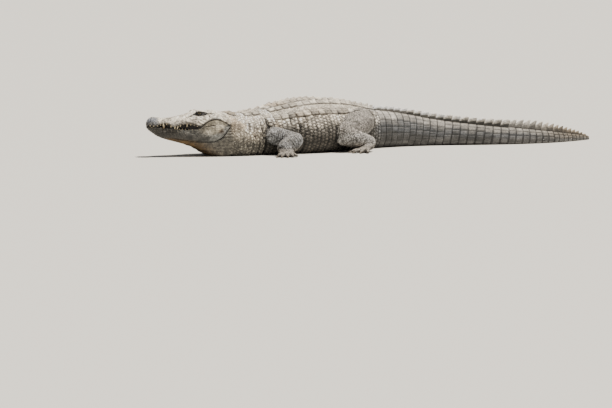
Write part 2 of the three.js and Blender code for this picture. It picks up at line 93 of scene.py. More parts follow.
# Upper head, half of each section: [s, middle top, brow v, brow z, side v, side z]
SKULL = [
    [3, 212, 10, 211, 16, 206],
    [16, 229, 20, 228, 36, 211],
    [36, 238, 26, 239, 48, 213],
    [60, 243, 27, 243, 52, 214],
    [82, 240, 27, 239, 48, 213],
    [96, 235, 28, 233, 43, 212],
    [116, 235, 36, 231, 55, 208],
    [142, 238, 43, 232, 67, 203],
    [172, 242, 46, 237, 71, 209],
    [205, 246, 48, 243, 74, 213],
    [240, 249, 52, 249, 80, 212],
    [272, 250, 56, 259, 88, 215],
    [300, 251, 60, 274, 98, 220],
    [322, 255, 62, 280, 104, 224],
    [345, 262, 65, 275, 108, 231],
    [372, 267, 66, 271, 110, 238],
    [410, 270, 68, 272, 113, 245],
    [450, 269, 70, 271, 119, 241],
    [466, 264, 72, 262, 126, 235],
    [HEAD_END, 262, 78, 255, 132, 222],
]
# Half width of the upper lip: [s, v]
LIP = [
    [0, 8],
    [8, 29],
    [25, 49],
    [50, 57],
    [72, 54],
    [92, 45],
    [112, 60],
    [140, 77],
    [170, 80],
    [205, 79],
    [240, 88],
    [280, 101],
    [320, 113],
    [360, 123],
    [400, 134],
    [440, 143],
    [HEAD_END, 150],
]
# Height of the mouth line: [s, z]
MOUTH = [
    [0, 193],
    [50, 183],
    [92, 187],
    [140, 171],
    [193, 189],
    [255, 168],
    [288, 166],
    [318, 180],
    [345, 205],
    [382, 223],
    [413, 225],
    [447, 213],
    [HEAD_END, 188],
]
# Lower jaw and throat: [s, lip v, side v, side z, lower edge v, lower edge z, middle z]
JAW = [
    [8, 15, 16, 183, 9, 176, 174],
    [25, 36, 38, 173, 24, 161, 158],
    [50, 47, 49, 165, 33, 143, 139],
    [92, 52, 53, 153, 39, 121, 117],
    [140, 61, 65, 147, 47, 106, 101],
    [200, 66, 73, 141, 55, 91, 85],
    [250, 77, 86, 134, 64, 77, 70],
    [300, 90, 101, 126, 76, 60, 51],
    [345, 106, 116, 126, 87, 37, 26],
    [382, 119, 129, 132, 97, 17, 7],
    [420, 129, 140, 130, 106, 4, 0],
    [455, 136, 147, 124, 112, 0, 0],
    [HEAD_END, 140, 150, 116, 118, 0, 0],
]
# Height of the lower jaw's bony edge, over the soft throat: [s, z]
JAW_EDGE = [
    [60, 128],
    [150, 119],
    [229, 107],
    [290, 99],
    [339, 95],
    [385, 97],
    [413, 106],
    [438, 121],
    [460, 146],
    [480, 171],
    [505, 205],
]
# Edges of the dark gap between the closed jaws, and of the crease behind it: [s, upper z, lower z]
GAPE = [
    [0, 196, 186],
    [50, 194, 182],
    [92, 203, 179],
    [112, 202, 177],
    [140, 187, 173],
    [165, 187, 172],
    [190, 194, 170],
    [212, 199, 168],
    [235, 200, 167],
    [257, 197, 166],
    [285, 188, 166],
    [311, 185, 171],
    [335, 202, 192],
    [360, 219, 211],
    [382, 228, 221],
    [413, 229, 223],
    [447, 216, 211],
    [480, 197, 192],
    [HEAD_END, 188, 184],
]

EYE = {"s": 316, "v": 66, "z": 259, "radius": 16}
TEETH = {"first": 14, "last": 305, "pitch": 20, "radius": 4.6, "inset": 5, "lobe_at": 148}
TOOTH_LENGTHS = (9, 22)  # away from the upper lip's big lobe, and in the middle of it
LOBE_END = 205
BACK_TOOTH_LENGTH = 6  # behind the lobe, but for one larger tooth
BACK_TOOTH = {"s": 234, "length": 21}
LOWER_TOOTH_LENGTH = 8
NOTCH_TOOTH = {"s": 92, "v": 49, "length": 28}  # of the lower jaw, outside the upper lip

# Crosswise rows of plates along the body: [name, first s, last s, keel height of each row]
LENGTHS = {
    "neck": (495, 700, [12, 3, 16, 15]),
    "back": (700, 1600, [4, 9, 10, 11, 11, 11, 11, 11, 11, 11, 11, 11, 11, 11, 12, 14, 17, 20]),
    "tail_1": (1600, 1870, [24, 26, 28, 29, 30]),
    "tail_2": (1870, 2140, [31, 32, 33, 34, 34]),
    "tail_3": (2140, 2410, [35, 36, 36, 37, 38]),
    "tail_4": (2410, 2572, [40, 42, 44]),
    "tail_5": (2572, 2908, [47, 50, 52, 52, 50, 47, 43]),
    "tail_6": (2908, BODY_LENGTH, [39, 35, 31, 27, 23, 19, 14, 9, 4]),
}
TWIN_CREST = {"first": 1600, "last": 2572, "from": 0.5, "to": 0.17, "flare": 0.3}

# Limbs of the left side, from the spine at the shoulder or hip. Each part has joints [x, y, z] and the
# radii at them; toes are (turn in degrees, length), and claws (length, radius).
FORELEG = {
    "at": SHOULDER_S,
    "upper": ([[-20, -128, 118], [20, -198, 114], [82, -250, 97]], [58, 51, 45]),
    "lower": ([[84, -252, 92], [36, -272, 76], [-18, -284, 52]], [50, 54, 50]),
    "wrist": [-20, -290, 42],
    "knuckles": [-50, -346, 15],
    "half": (46, 48),
    "thick": (38, 22),
    "toes": [(-42, 36), (-22, 47), (-2, 51), (18, 46), (40, 36)],
    "toe_radius": 12,
    "claw": (24, 5.2),
    "web": None,
    "right_shift": -22,
    "names": ("upper_arm", "forearm", "hand"),
}
HINDLEG = {
    "at": HIP_S,
    "upper": ([[15, -116, 172], [-130, -208, 150], [-220, -256, 114]], [96, 86, 66]),
    "lower": ([[-222, -262, 100], [-150, -288, 84], [-60, -302, 60]], [62, 54, 42]),
    "wrist": [-62, -306, 44],
    "knuckles": [-152, -350, 18],
    "half": (38, 48),
    "thick": (36, 16),
    "toes": [(-24, 72), (-8, 92), (9, 96), (27, 84)],
    "toe_radius": 12.5,
    "claw": (29, 6.2),
    "web": {"thickness": 7, "under": 2, "reach": 0.72, "dip": 0.35},
    "right_shift": 16,
    "names": ("thigh", "shank", "foot"),
}
CLAWED_TOES = 3
JOINT_GAP = 0.3


# ---------------------------------------------------------------- curves and frames
def curve(table, at):
    """A smooth curve through the rows of a table, read at its first column."""
    rows = np.array(table, float)
    at = np.clip(np.atleast_1d(np.asarray(at, float)), rows[0, 0], rows[-1, 0])
    i = np.clip(np.searchsorted(rows[:, 0], at, side="right") - 1, 0, len(rows) - 2)
    a, b = rows[i], rows[i + 1]
    before, after = rows[np.maximum(i - 1, 0)], rows[np.minimum(i + 2, len(rows) - 1)]
    span = b[:, :1] - a[:, :1]
    t = (at[:, None] - a[:, :1]) / span
    slope_a = (b - before) / (b[:, :1] - before[:, :1]) * span
    slope_b = (after - a) / (after[:, :1] - a[:, :1]) * span
    t2, t3 = t * t, t * t * t
    made = a * (2 * t3 - 3 * t2 + 1) + slope_a * (t3 - 2 * t2 + t)
    return (made + b * (3 * t2 - 2 * t3) + slope_b * (t3 - t2))[:, 1:]


def step(low, high, x):
    """0 at low, 1 at high, smooth between them and level beyond; it falls where low is the greater."""
    t = np.clip((x - low) / (high - low), 0, 1)
    return t * t * (3 - 2 * t)


def bell(x, width):
    """1 at x = 0, falling smoothly to almost nothing by two widths from it."""
    return np.exp(-((x / width) ** 2))


def between(low, full_from, full_to, high, x):
    """0 outside low..high and 1 inside full_from..full_to, with smooth ends."""
    return step(low, full_from, x) * step(high, full_to, x)


def mix(a, b, share):
    """a where share is 0, b where it is 1, and in proportion between."""
    return a + (b - a) * share


def unit(vectors):
    """Vectors of the same directions, each of length 1."""
    return vectors / np.maximum(np.linalg.norm(vectors, axis=-1, keepdims=True), 1e-9)


def arc(line):
    """Length along a line of points up to each of them."""
    return np.concatenate([[0], np.cumsum(np.linalg.norm(np.diff(line, axis=0), axis=1))])


def heading(s):
    """Which way the spine runs at s, in radians from +X."""
    stops = np.array(HEADINGS, float)
    i = np.clip(np.searchsorted(stops[:, 0], s), 1, len(stops) - 1)
    share = step(stops[i - 1, 0], stops[i, 0], s)
    return np.radians(mix(stops[i - 1, 1], stops[i, 1], share))


SPINE_STEP = 5
spine_s = np.arange(0, BODY_LENGTH + 2 * SPINE_STEP, SPINE_STEP, dtype=float)
spine_turns = heading(spine_s[:-1] + SPINE_STEP / 2)
spine_steps = np.stack([np.cos(spine_turns), np.sin(spine_turns)], 1) * SPINE_STEP
spine_xy = np.vstack([[0, 0], np.cumsum(spine_steps, 0)]) + SNOUT_TIP[:2]


def place(s, v, z):
    """Points in the frame from places along, beside and above the spine."""
    s, v, z = np.broadcast_arrays(*[np.asarray(x, float) for x in (s, v, z)])
    turn = heading(s)
    x = np.interp(s, spine_s, spine_xy[:, 0]) - v * np.sin(turn)
    y = np.interp(s, spine_s, spine_xy[:, 1]) + v * np.cos(turn)
    return np.stack([x, y, z], -1)


def locate(points):
    """s and v of points in the frame."""
    s = np.interp(points[:, 0], spine_xy[:, 0], spine_s)
    for _ in range(8):
        turn = heading(s)
        offset = points[:, :2] - place(s, 0, 0)[:, :2]
        s = np.clip(s + offset[:, 0] * np.cos(turn) + offset[:, 1] * np.sin(turn), 0, BODY_LENGTH)
    turn = heading(s)
    offset = points[:, :2] - place(s, 0, 0)[:, :2]
    return s, offset[:, 1] * np.cos(turn) - offset[:, 0] * np.sin(turn)


# ---------------------------------------------------------------- noise
def lattice(cell, salt):
    """A fixed number in 0..1, as good as random, for each whole-number cell. salt picks the series."""
    n = (cell @ np.array([374761393, 668265263, 1103515245]) + salt * 69069) & 0xFFFFFFFF
    for shift, factor in ((13, 1274126177), (15, 2246822519)):
        n = ((n ^ (n >> shift)) * factor) & 0xFFFFFFFF
    return ((n ^ (n >> 16)) & 0xFFFFFF) / 0xFFFFFF


def noise(points, size, salt):
    """Smooth noise in -1..1 with features about size across."""
    at = points / size
    cell = np.floor(at).astype(np.int64)
    t = at - cell
    t = t * t * (3 - 2 * t)
    total = np.zeros(len(points))
    for corner in np.ndindex(2, 2, 2):
        weight = np.prod(np.where(corner, t, 1 - t), axis=1)
        total += weight * lattice(cell + np.array(corner), salt)
    return 2 * total - 1


def cells(points, size, salt):
    """Distance to the nearest border between random cells, in mm."""
    at = points / size
    home = np.floor(at).astype(np.int64)
    first = np.full(len(points), 9.0)
    second = np.full(len(points), 9.0)
    for offset in np.ndindex(3, 3, 3):
        cell = home + np.array(offset) - 1
        jitter = np.stack([lattice(cell, salt + k) for k in range(3)], 1)
        distance = np.linalg.norm(cell + 0.15 + 0.7 * jitter - at, axis=1)
        nearer = distance < first
        second = np.where(nearer, first, np.minimum(second, distance))
        first = np.where(nearer, distance, first)
    return (second - first) * size / 2


# ---------------------------------------------------------------- sections of the body
HALF_POINTS = 49


def resample(line):
    """A smooth line through the points of a half section, which starts and ends on the middle plane."""
    line = np.array(line, float)
    around = np.vstack([line[1] * [-1, 1], line, line[-2] * [-1, 1]])
    length = arc(around)
    return curve(np.column_stack([length, around]), np.linspace(length[1], length[-2], HALF_POINTS))


def head_half(s):
    """Half of a section of the closed head, from the crown down to the throat: [v, z]."""
    top, brow_v, brow_z, side_v, side_z = curve(SKULL, s)[0]
    edge, jaw_v, jaw_z, low_v, low_z, keel = curve(JAW, s)[0]
    lip, mouth = curve(LIP, s)[0, 0], curve(MOUTH, s)[0, 0]
    rim_z = min(mouth + 8, side_z - 4)
    return resample(
        [
            [0, top],
            [brow_v * 0.5, mix(top, brow_z, 0.35)],
            [brow_v, brow_z],
            [mix(side_v, brow_v, 0.5) + 1.5, mix(side_z, brow_z, 0.5) + 1.5],
            [side_v, side_z],
            [lip, rim_z],
            [lip - 2, mouth + 1],
            [min(edge, lip - 4), mouth - 5],
            [jaw_v, jaw_z],
            [mix(low_v, jaw_v, 0.45) + 3, mix(low_z, jaw_z, 0.45) + 3],
            [low_v, low_z],
            [0, keel],
        ]
    )


def body_half(s):
    """Half of a section of the neck, trunk or tail, without its plates: [v, z]."""
    half, top, level, above, below = curve(BODY, s)[0]
    half, top = half - min(COAT_DEPTH, half / 3), top - min(COAT_DEPTH, top / 4)
    turn = np.linspace(np.pi / 2, 0, HALF_POINTS // 2 + 1)
    upper_v = half * np.cos(turn).clip(0) ** (2 / above)
    upper_z = level + (top - level) * np.sin(turn) ** (2 / above)
    turn = np.linspace(0, np.pi / 2, HALF_POINTS - HALF_POINTS // 2)[1:]
    lower_v = half * np.cos(turn).clip(0) ** (2 / below)
    lower_z = level - (level + top * BELLY_SINK) * np.sin(turn) ** (2 / below)
    line = np.vstack([np.column_stack([upper_v, upper_z]), np.column_stack([lower_v, lower_z])])
    line[[0, -1], 0] = 0
    return line


def half_at(s):
    """Half of the section at s, of the head or of the body."""
    return head_half(s) if s < HEAD_END else body_half(s)


def on_section(s, shares):
    """Points on a section at shares of its half length, round from the top: [v, z]."""
    line = half_at(s)
    length = arc(line)
    at = np.asarray(shares) * length[-1]
    return np.column_stack([np.interp(at, length, line[:, 0]), np.interp(at, length, line[:, 1])])


def section_length(s):
    """Length of half a section, from its top round to its bottom."""
    return float(np.linalg.norm(np.diff(half_at(s), axis=0), axis=1).sum())


def share_at_width(s, widths):
    """How far round the upper half of a section each share of its half width is reached."""
    line = half_at(s)
    length = arc(line)
    upper = slice(0, int(np.argmax(line[:, 0])) + 1)
    return np.interp(np.asarray(widths) * line[:, 0].max(), line[upper, 0], length[upper]) / length[-1]


# ---------------------------------------------------------------- shells
class Shells:
    """Closed shells gathered as one set of points and faces."""

    def __init__(self):
        self.points = []
        self.faces = []
        self.count = 0

    def loft(self, rings):
        """Adds one closed shell through rings that have as many points each."""
        rings = np.array(rings, float)
        rows, sides = rings.shape[:2]
        index = self.count + np.arange(rows * sides).reshape(rows, sides)
        turned = np.roll(index, -1, 1)
        quads = np.stack([index[:-1], turned[:-1], turned[1:], index[1:]], -1).reshape(-1, 4)
        self.faces += quads.tolist()
        self.faces += [index[0, ::-1].tolist(), index[-1].tolist()]
        self.points.append(rings.reshape(-1, 3))
        self.count += rows * sides

    def mesh(self, name):
        """All shells as one mesh."""
        made = bpy.data.meshes.new(name)
        made.from_pydata((np.vstack(self.points) * MM).tolist(), [], self.faces)
        return made


def whole_ring(s, half):
    """A ring in the frame from half of a section."""
    right = place(s, half[:, 0], half[:, 1])
    left = place(s, -half[1:-1, 0], half[1:-1, 1])
    ring = np.vstack([right, left[::-1]])
    ring[:, 2] = np.maximum(ring[:, 2], FLOOR_LIFT)
    return ring


def shrunk(half, share):
    """A half section drawn in towards its middle height."""
    middle = np.array([0, (half[:, 1].min() + half[:, 1].max()) / 2])
    return middle + (half - middle) * share


SNOUT_STATIONS = [3, 5, 8, 12]  # closer together where the snout rounds off
HEAD_STATIONS = (17, HEAD_END + 1, 5.0)  # from, up to, step
BODY_STEP = 6.0
TAIL_STATIONS = [BODY_LENGTH - 10, BODY_LENGTH - 4, BODY_LENGTH - 1]
PLUG_STEP = 25.0  # between the smaller rings with which the head and body end inside each other
PLUG_TAPER = 0.07


def add_head(shells):
    """The closed head, from the snout's tip to just behind the skull."""
    stations = np.concatenate([SNOUT_STATIONS, np.arange(*HEAD_STATIONS)])
    rings = [whole_ring(s, head_half(s)) for s in stations]
    tip = whole_ring(1.0, shrunk(head_half(3.0), 0.55))
    last = head_half(float(HEAD_END))
    inside = [whole_ring(HEAD_END + PLUG_STEP * k, shrunk(last, 1 - PLUG_TAPER * k)) for k in (1, 2)]
    shells.loft([tip, *rings, *inside])


def add_body(shells):
    """The neck, trunk and tail, which start a little inside the head."""
    first = BODY[0][0]
    stations = np.concatenate([np.arange(first, TAIL_STATIONS[0], BODY_STEP), TAIL_STATIONS])
    front = body_half(float(first))
    inside = [whole_ring(first - PLUG_STEP * k, shrunk(front, 1 - PLUG_TAPER * k)) for k in (2, 1)]
    shells.loft([*inside, *[whole_ring(s, body_half(s)) for s in stations]])


# ---------------------------------------------------------------- limbs
LIMB_POINTS = 15  # along each upper and lower part


def limb_parts(limb, side):
    """Lines of points and radii of a limb in the frame. side is -1 on the left and 1 on the right."""
    root = place(limb["at"], 0, 0)
    shift = limb["right_shift"] if side > 0 else 0

    def moved(points):
        """Points given for the left limb, moved to this one's place in the frame."""
        points = np.atleast_2d(np.array(points, float))
        return points * [1, -side, 1] + [root[0] + shift, root[1], 0]

    def line(part):
        """A part's centre line and the skin's radii along it."""
        joints, radii = part
        rows = np.column_stack([np.arange(len(joints)), moved(joints), radii])
        made = curve(rows, np.linspace(0, len(joints) - 1, LIMB_POINTS))
        return made[:, :3], made[:, 3] - LIMB_COAT_DEPTH

    wrist, knuckles = moved(limb["wrist"])[0], moved(limb["knuckles"])[0]
    axis = unit((knuckles - wrist) * [1, 1, 0])
    across = np.array([-axis[1], axis[0], 0])
    radius = limb["toe_radius"]
    toes = []
    for turn, length in limb["toes"]:
        angle = np.radians(turn * -side)
        ahead = axis * np.cos(angle) + across * np.sin(angle)
        base = knuckles + across * np.sin(angle) * limb["half"][1] * 1.1 - axis * radius
        shares = np.array([0, 0.5, 1])
        joints = base + np.outer(shares * length, ahead)
        joints[:, 2] = radius * np.array([1.2, 1.15, 0.7])
        toes.append({"ahead": ahead, "joints": joints, "radii": radius * np.array([1.15, 1, 0.7])})
    return {
        "side": side,
        "name": "left" if side < 0 else "right",
        "limb": limb,
        "upper": line(limb["upper"]),
        "lower": line(limb["lower"]),
        "wrist": wrist,
        "knuckles": knuckles,
        "across": across,
        "axis": axis,
        "toes": toes,
    }


def frames_along(points):
    """Unit vectors along, across and up at each point of a line."""
    along = unit(np.gradient(points, axis=0))
    across = unit(np.cross([0, 0, 1], along))
    return along, across, np.cross(along, across)


def tube_rings(points, radii, sides=24, wide=1.0):
    """Rings of a round-ended tube; wide stretches it sideways."""
    along, across, rise = frames_along(points)
    angle = np.linspace(0, 2 * np.pi, sides, endpoint=False)
    rings = []

    def ring(k, shift, scale):
        """Adds a ring round point k, moved along by shift."""
        centre = points[k] + along[k] * shift
        flat = np.outer(np.cos(angle) * wide, across[k]) + np.outer(np.sin(angle), rise[k])
        made = centre + radii[k] * scale * flat
        made[:, 2] = np.maximum(made[:, 2], FLOOR_LIFT)
        rings.append(made)

    caps = [0.98, 0.85, 0.6, 0.3]
    for out in caps:
        ring(0, -out * radii[0], np.sqrt(1 - out * out))
    for k in range(len(points)):
        ring(k, 0, 1)
    for out in caps[::-1]:
        ring(-1, out * radii[-1], np.sqrt(1 - out * out))
    return rings


# Sections of a palm: [share from wrist to knuckles, share of the spread between their sizes, scale]
PALM_SECTIONS = [[-0.22, 0, 0.7], [0, 0, 1], [0.5, 0.6, 1], [1, 1, 1], [1.12, 1, 0.75]]
PALM_INSET = 2  # how far the skin of a palm lies inside its solid
TOE_WIDE = 1.12
KNUCKLE_RISE = 1.7  # how much a toe swells at its joints


def toe_line(toe, count=13):
    """A toe's centre line and radii, swollen at its joints."""
    rows = np.column_stack([[0, 1, 2], toe["joints"], toe["radii"]])
    made = curve(rows, np.linspace(0, 2, count))
    share = np.linspace(0, 1, count)
    swell = KNUCKLE_RISE * (bell(share - 0.42, 0.1) + 0.7 * bell(share - 0.78, 0.08)) - 0.6
    return made[:, :3], made[:, 3] - 1.2 + swell


def add_foot(shells, parts):
    """The palm, the toes and any web between them."""
    limb = parts["limb"]
    angle = np.linspace(0, 2 * np.pi, 24, endpoint=False)
    rings = []
    for along, spread, size in PALM_SECTIONS:
        half = mix(*limb["half"], spread) * size - PALM_INSET
        thick = mix(*limb["thick"], spread) * size - PALM_INSET
        centre = mix(parts["wrist"], parts["knuckles"], along)
        ring = centre + np.outer(half * np.cos(angle), parts["across"])
        ring = ring + np.outer(thick * np.sin(angle), [0, 0, 1])
        ring[:, 2] = np.maximum(ring[:, 2], FLOOR_LIFT)
        rings.append(ring)
    shells.loft(rings)
    for toe in parts["toes"]:
        points, radii = toe_line(toe)
        shells.loft(tube_rings(points, radii, 16, TOE_WIDE))
    if limb["web"]:
        add_web(shells, parts, limb["web"])


def add_web(shells, parts, web):
    """The skin between the toes: one sheet whose front edge dips between each two of them."""
    roots = [toe["joints"][0] for toe in parts["toes"]]
    tips = [mix(toe["joints"][0], toe["joints"][-1], web["reach"]) for toe in parts["toes"]]
    outline = [roots[0], tips[0]]
    for k in range(1, len(tips)):
        for share in (0.25, 0.5, 0.75):
            edge, heel = mix(tips[k - 1], tips[k], share), mix(roots[k - 1], roots[k], share)
            outline.append(mix(edge, heel, web["dip"] * 4 * share * (1 - share)))
        outline.append(tips[k])
    outline = np.array([*outline, roots[-1]])
    sheets = []
    for height in (web["under"], web["under"] + web["thickness"]):
        sheet = outline.copy()
        sheet[:, 2] = height
        sheets.append(sheet)
    shells.loft(sheets)


def palm_line(parts, count):
    """Points from just behind the wrist to the knuckles."""
    return np.array([mix(parts["wrist"], parts["knuckles"], t) for t in np.linspace(-0.1, 1, count)])


def limb_samples(parts):
    """Balls that fill a limb, as centres and radii, for telling its skin from the trunk's."""
    lines = [parts["upper"], parts["lower"]]
    palm = palm_line(parts, 6)
    for offset in (-0.55, 0, 0.55):
        lines.append((palm + parts["across"] * parts["limb"]["half"][0] * offset, np.linspace(24, 14, 6)))
    lines += [toe_line(toe) for toe in parts["toes"]]
    return np.vstack([line[0] for line in lines]), np.concatenate([line[1] for line in lines])


limbs = [limb_parts(limb, side) for limb in (FORELEG, HINDLEG) for side in (-1, 1)]
FORELEGS = 2  # the limbs of lower numbers are forelegs
LIMB_REACH = 150  # how far from a limb its distance is worked out
CHUNK = 20000  # points taken at a time, for the sake of memory


def limb_distance(points):
    """Distance outside the nearest limb, in mm, and which limb that is."""
    best = np.full(len(points), 1e3)
    which = np.zeros(len(points), int)
    for number, parts in enumerate(limbs):
        centres, radii = limb_samples(parts)
        low, high = centres.min(0) - LIMB_REACH, centres.max(0) + LIMB_REACH
        near = np.where(((points > low) & (points < high)).all(1))[0]
        for chunk in np.array_split(near, max(1, len(near) // CHUNK)):
            gaps = np.linalg.norm(points[chunk, None] - centres[None], axis=2) - radii
            gap = gaps.min(1)
            closer = gap < best[chunk]
            best[chunk[closer]] = gap[closer]
            which[chunk[closer]] = number
    return best, which


def body_distance(s, v, z):
    """Roughly how far outside the trunk or head a point is, in mm, and how far round it lies."""
    half, top, level, above, below = curve(BODY, s).T
    rise = np.where(z > level, (z - level) / (top - level), (level - z) / (level + top * BELLY_SINK))
    power = np.where(z > level, above, below)
    ratio = ((np.abs(v) / half) ** power + np.abs(rise).clip(0) ** power) ** (1 / power)
    turn = np.arctan2(np.abs(v) / half, np.where(z > level, rise, -rise))
    return (ratio - 1) * np.minimum(half, top - level), turn / np.pi


# ---------------------------------------------------------------- the skin's mesh
def new_object(name, data):
    """A new object, linked to the scene."""
    ob = bpy.data.objects.new(name, data)
    bpy.context.scene.collection.objects.link(ob)
    return ob


def remeshed(mesh):
    """One closed surface round all the shells."""
    ob = new_object("base", mesh)
    modifier = ob.modifiers.new("join", "REMESH")
    modifier.mode = "VOXEL"
    modifier.voxel_size = VOXEL * MM
    bpy.context.view_layer.update()
    made = bpy.data.meshes.new_from_object(ob.evaluated_get(bpy.context.evaluated_depsgraph_get()))
    bpy.data.objects.remove(ob)
    return made


def read(items, key, width=1, kind=np.int32):
    """One property of all items of a mesh, as an array with width columns."""
    flat = np.empty(len(items) * width, kind)
    items.foreach_get(key, flat)
    return flat.reshape(-1, width) if width > 1 else flat


def coordinates(mesh):
    """A mesh's points, in mm."""
    return read(mesh.vertices, "co", 3, np.float32).astype(float) / MM


def normals(mesh):
    """The surface's directions at a mesh's points."""
    return read(mesh.vertex_normals, "vector", 3, np.float32).astype(float)


def set_coordinates(mesh, points):
    """Moves a mesh's points to these places, in mm."""
    mesh.vertices.foreach_set("co", (points * MM).astype(np.float32).ravel())
    mesh.update()


def set_values(mesh, name, values):
    """A number for each of a mesh's points, which its material reads by name."""
    layer = mesh.attributes.new(name, "FLOAT", "POINT")
    layer.data.foreach_set("value", values.astype(np.float32))


def relax(points, edges, weight, rounds):
    """Draws each point towards the mean of its neighbours by its weight, over and over."""
    count = len(points)
    degree = np.maximum(np.bincount(edges.ravel(), minlength=count), 1)
    one, other = edges.T
    for _ in range(rounds):
        moved = np.empty_like(points)
        for k in range(3):
            total = np.bincount(one, points[other, k], count) + np.bincount(other, points[one, k], count)
            moved[:, k] = total / degree
        points = points + (moved - points) * weight[:, None]
    return points


def refine(mesh, chosen):
    """Splits the edges between chosen points, so that finer relief fits there."""
    work = bmesh.new()
    work.from_mesh(mesh)
    work.verts.ensure_lookup_table()
    edges = [e for e in work.edges if chosen[e.verts[0].index] and chosen[e.verts[1].index]]
    bmesh.ops.subdivide_edges(work, edges=edges, cuts=1, use_grid_fill=True, smooth=0.0)
    work.to_mesh(mesh)
    work.free()


def eye_frame(side):
    """Centre of an eye, and unit vectors ahead, up and along its gaze."""
    turn = heading(np.array(float(EYE["s"])))
    ahead = -np.array([np.cos(turn), np.sin(turn), 0])
    out = side * np.array([-np.sin(turn), np.cos(turn), 0])
    up = np.array([0.0, 0.0, 1.0])
    gaze = unit(0.9 * out + 0.3 * up + 0.2 * ahead)
    return place(EYE["s"], side * EYE["v"], EYE["z"]), ahead, up, gaze


LID_THICKNESS = 2.4
LID_OPEN = (62, 19)  # half angles of the opening between the lids, lengthwise and upright
LID_RISE = 4  # how far the opening's middle lies above the gaze, in degrees
SOCKET_DEPTH = 4.0


def gaze_axes(side):
    """Centre of an eye, its gaze, and unit vectors ahead and up across the gaze."""
    centre, ahead, up, gaze = eye_frame(side)
    across = unit(ahead - gaze * (ahead @ gaze))
    return centre, gaze, across, unit(up - gaze * (up @ gaze) - across * (up @ across))


def shape_lids(points):
    """Lids that wrap each eyeball. Gives how far each point lies in the opening between them, 0 to 1."""
    opened = np.zeros(len(points))
    for side in (-1, 1):
        centre, gaze, across, rise = gaze_axes(side)
        offset = points - centre
        reach = np.linalg.norm(offset, axis=1)
        near = np.where((reach < 40) & (offset @ gaze > 0))[0]
        direction = unit(offset[near])
        length = np.degrees(np.arctan2(direction @ across, direction @ gaze))
        height = np.degrees(np.arctan2(direction @ rise, direction @ gaze))
        gap = LID_OPEN[1] * (1 - (length / LID_OPEN[0]) ** 2) - np.abs(height - LID_RISE)
        opening = step(-3, 4, gap)
        folds = 1.2 * bell(gap + 6, 5) - 0.9 * bell(gap + 15, 3.5) + 0.8 * bell(gap + 22, 4)
        lid = EYE["radius"] + LID_THICKNESS + folds + 1.4 * bell(height - 46, 14)
        far = reach[near]
        shown = np.maximum(far, mix(lid, far, step(24, 38, far)))
        target = mix(shown, EYE["radius"] - SOCKET_DEPTH, opening)
        points[near] = centre + direction * target[:, None]
        opened[near] = np.maximum(opened[near], opening)
    return opened


SEAM_REACH = 26  # how far from a seam the skin is smoothed
SEAM_ROUNDS = 60
EYE_REACH = 46  # round each eye the skin's mesh is finer
NOSE_REACH = (56, 218)  # it is finer ahead of this s and above this z as well
LIP_REACH = 9


def fine_places(points, s, v):
    """Whether each point lies by an eye, a nostril or the edge of the mouth."""
    centres = [eye_frame(side)[0] for side in (-1, 1)]
    by_eye = np.min([np.linalg.norm(points - c, axis=1) for c in centres], axis=0) < EYE_REACH
    by_nostril = (s < NOSE_REACH[0]) & (points[:, 2] > NOSE_REACH[1])
    upper, lower = curve(GAPE, s).T
    from_mouth = np.abs(points[:, 2] - (upper + lower) / 2) - (upper - lower) / 2
    by_mouth = (from_mouth < LIP_REACH) & (np.abs(v) > 0.5 * curve(LIP, s)[:, 0]) & (s < HEAD_END - 5)
    return by_eye | by_nostril | by_mouth


def build_skin():
    """The skin's mesh before its relief: all shells joined, finer on the head, and smooth at the seams."""
    shells = Shells()
    add_head(shells)
    add_body(shells)
    for parts in limbs:
        for part in ("upper", "lower"):
            shells.loft(tube_rings(*parts[part]))
        add_foot(shells, parts)
    mesh = remeshed(shells.mesh("shells"))
    mesh.name = "skin"
    points = coordinates(mesh)
    refine(mesh, (locate(points)[0] < HEAD_END + 10) & (limb_distance(points)[0] > 20))
    points = coordinates(mesh)
    refine(mesh, fine_places(points, *locate(points)))
    points = coordinates(mesh)
    s, v = locate(points)
    limb_gap, _ = limb_distance(points)
    body_gap, _ = body_distance(s, v, points[:, 2])
    edges = read(mesh.edges, "vertices", 2)
    seam = bell(limb_gap, SEAM_REACH) * bell(body_gap, SEAM_REACH) * (s > HEAD_END)
    neck = bell(s - HEAD_END, 26) * step(15, 50, limb_gap)
    points = relax(points, edges, np.full(len(points), 0.5), 2)
    points = relax(points, edges, 0.6 * np.maximum(seam, 0.7 * neck).clip(0, 1), SEAM_ROUNDS)
    points[:, 2] = np.maximum(points[:, 2], FLOOR_LIFT)
    set_coordinates(mesh, points)
    return mesh


# ---------------------------------------------------------------- relief of the skin
def tooth_places():
    """s of each upper tooth, clear of the notch."""
    at = np.arange(TEETH["first"], TEETH["last"] + 1, TEETH["pitch"], dtype=float)
    return at[np.abs(at - NOTCH_TOOTH["s"]) > TEETH["pitch"] * 0.7]


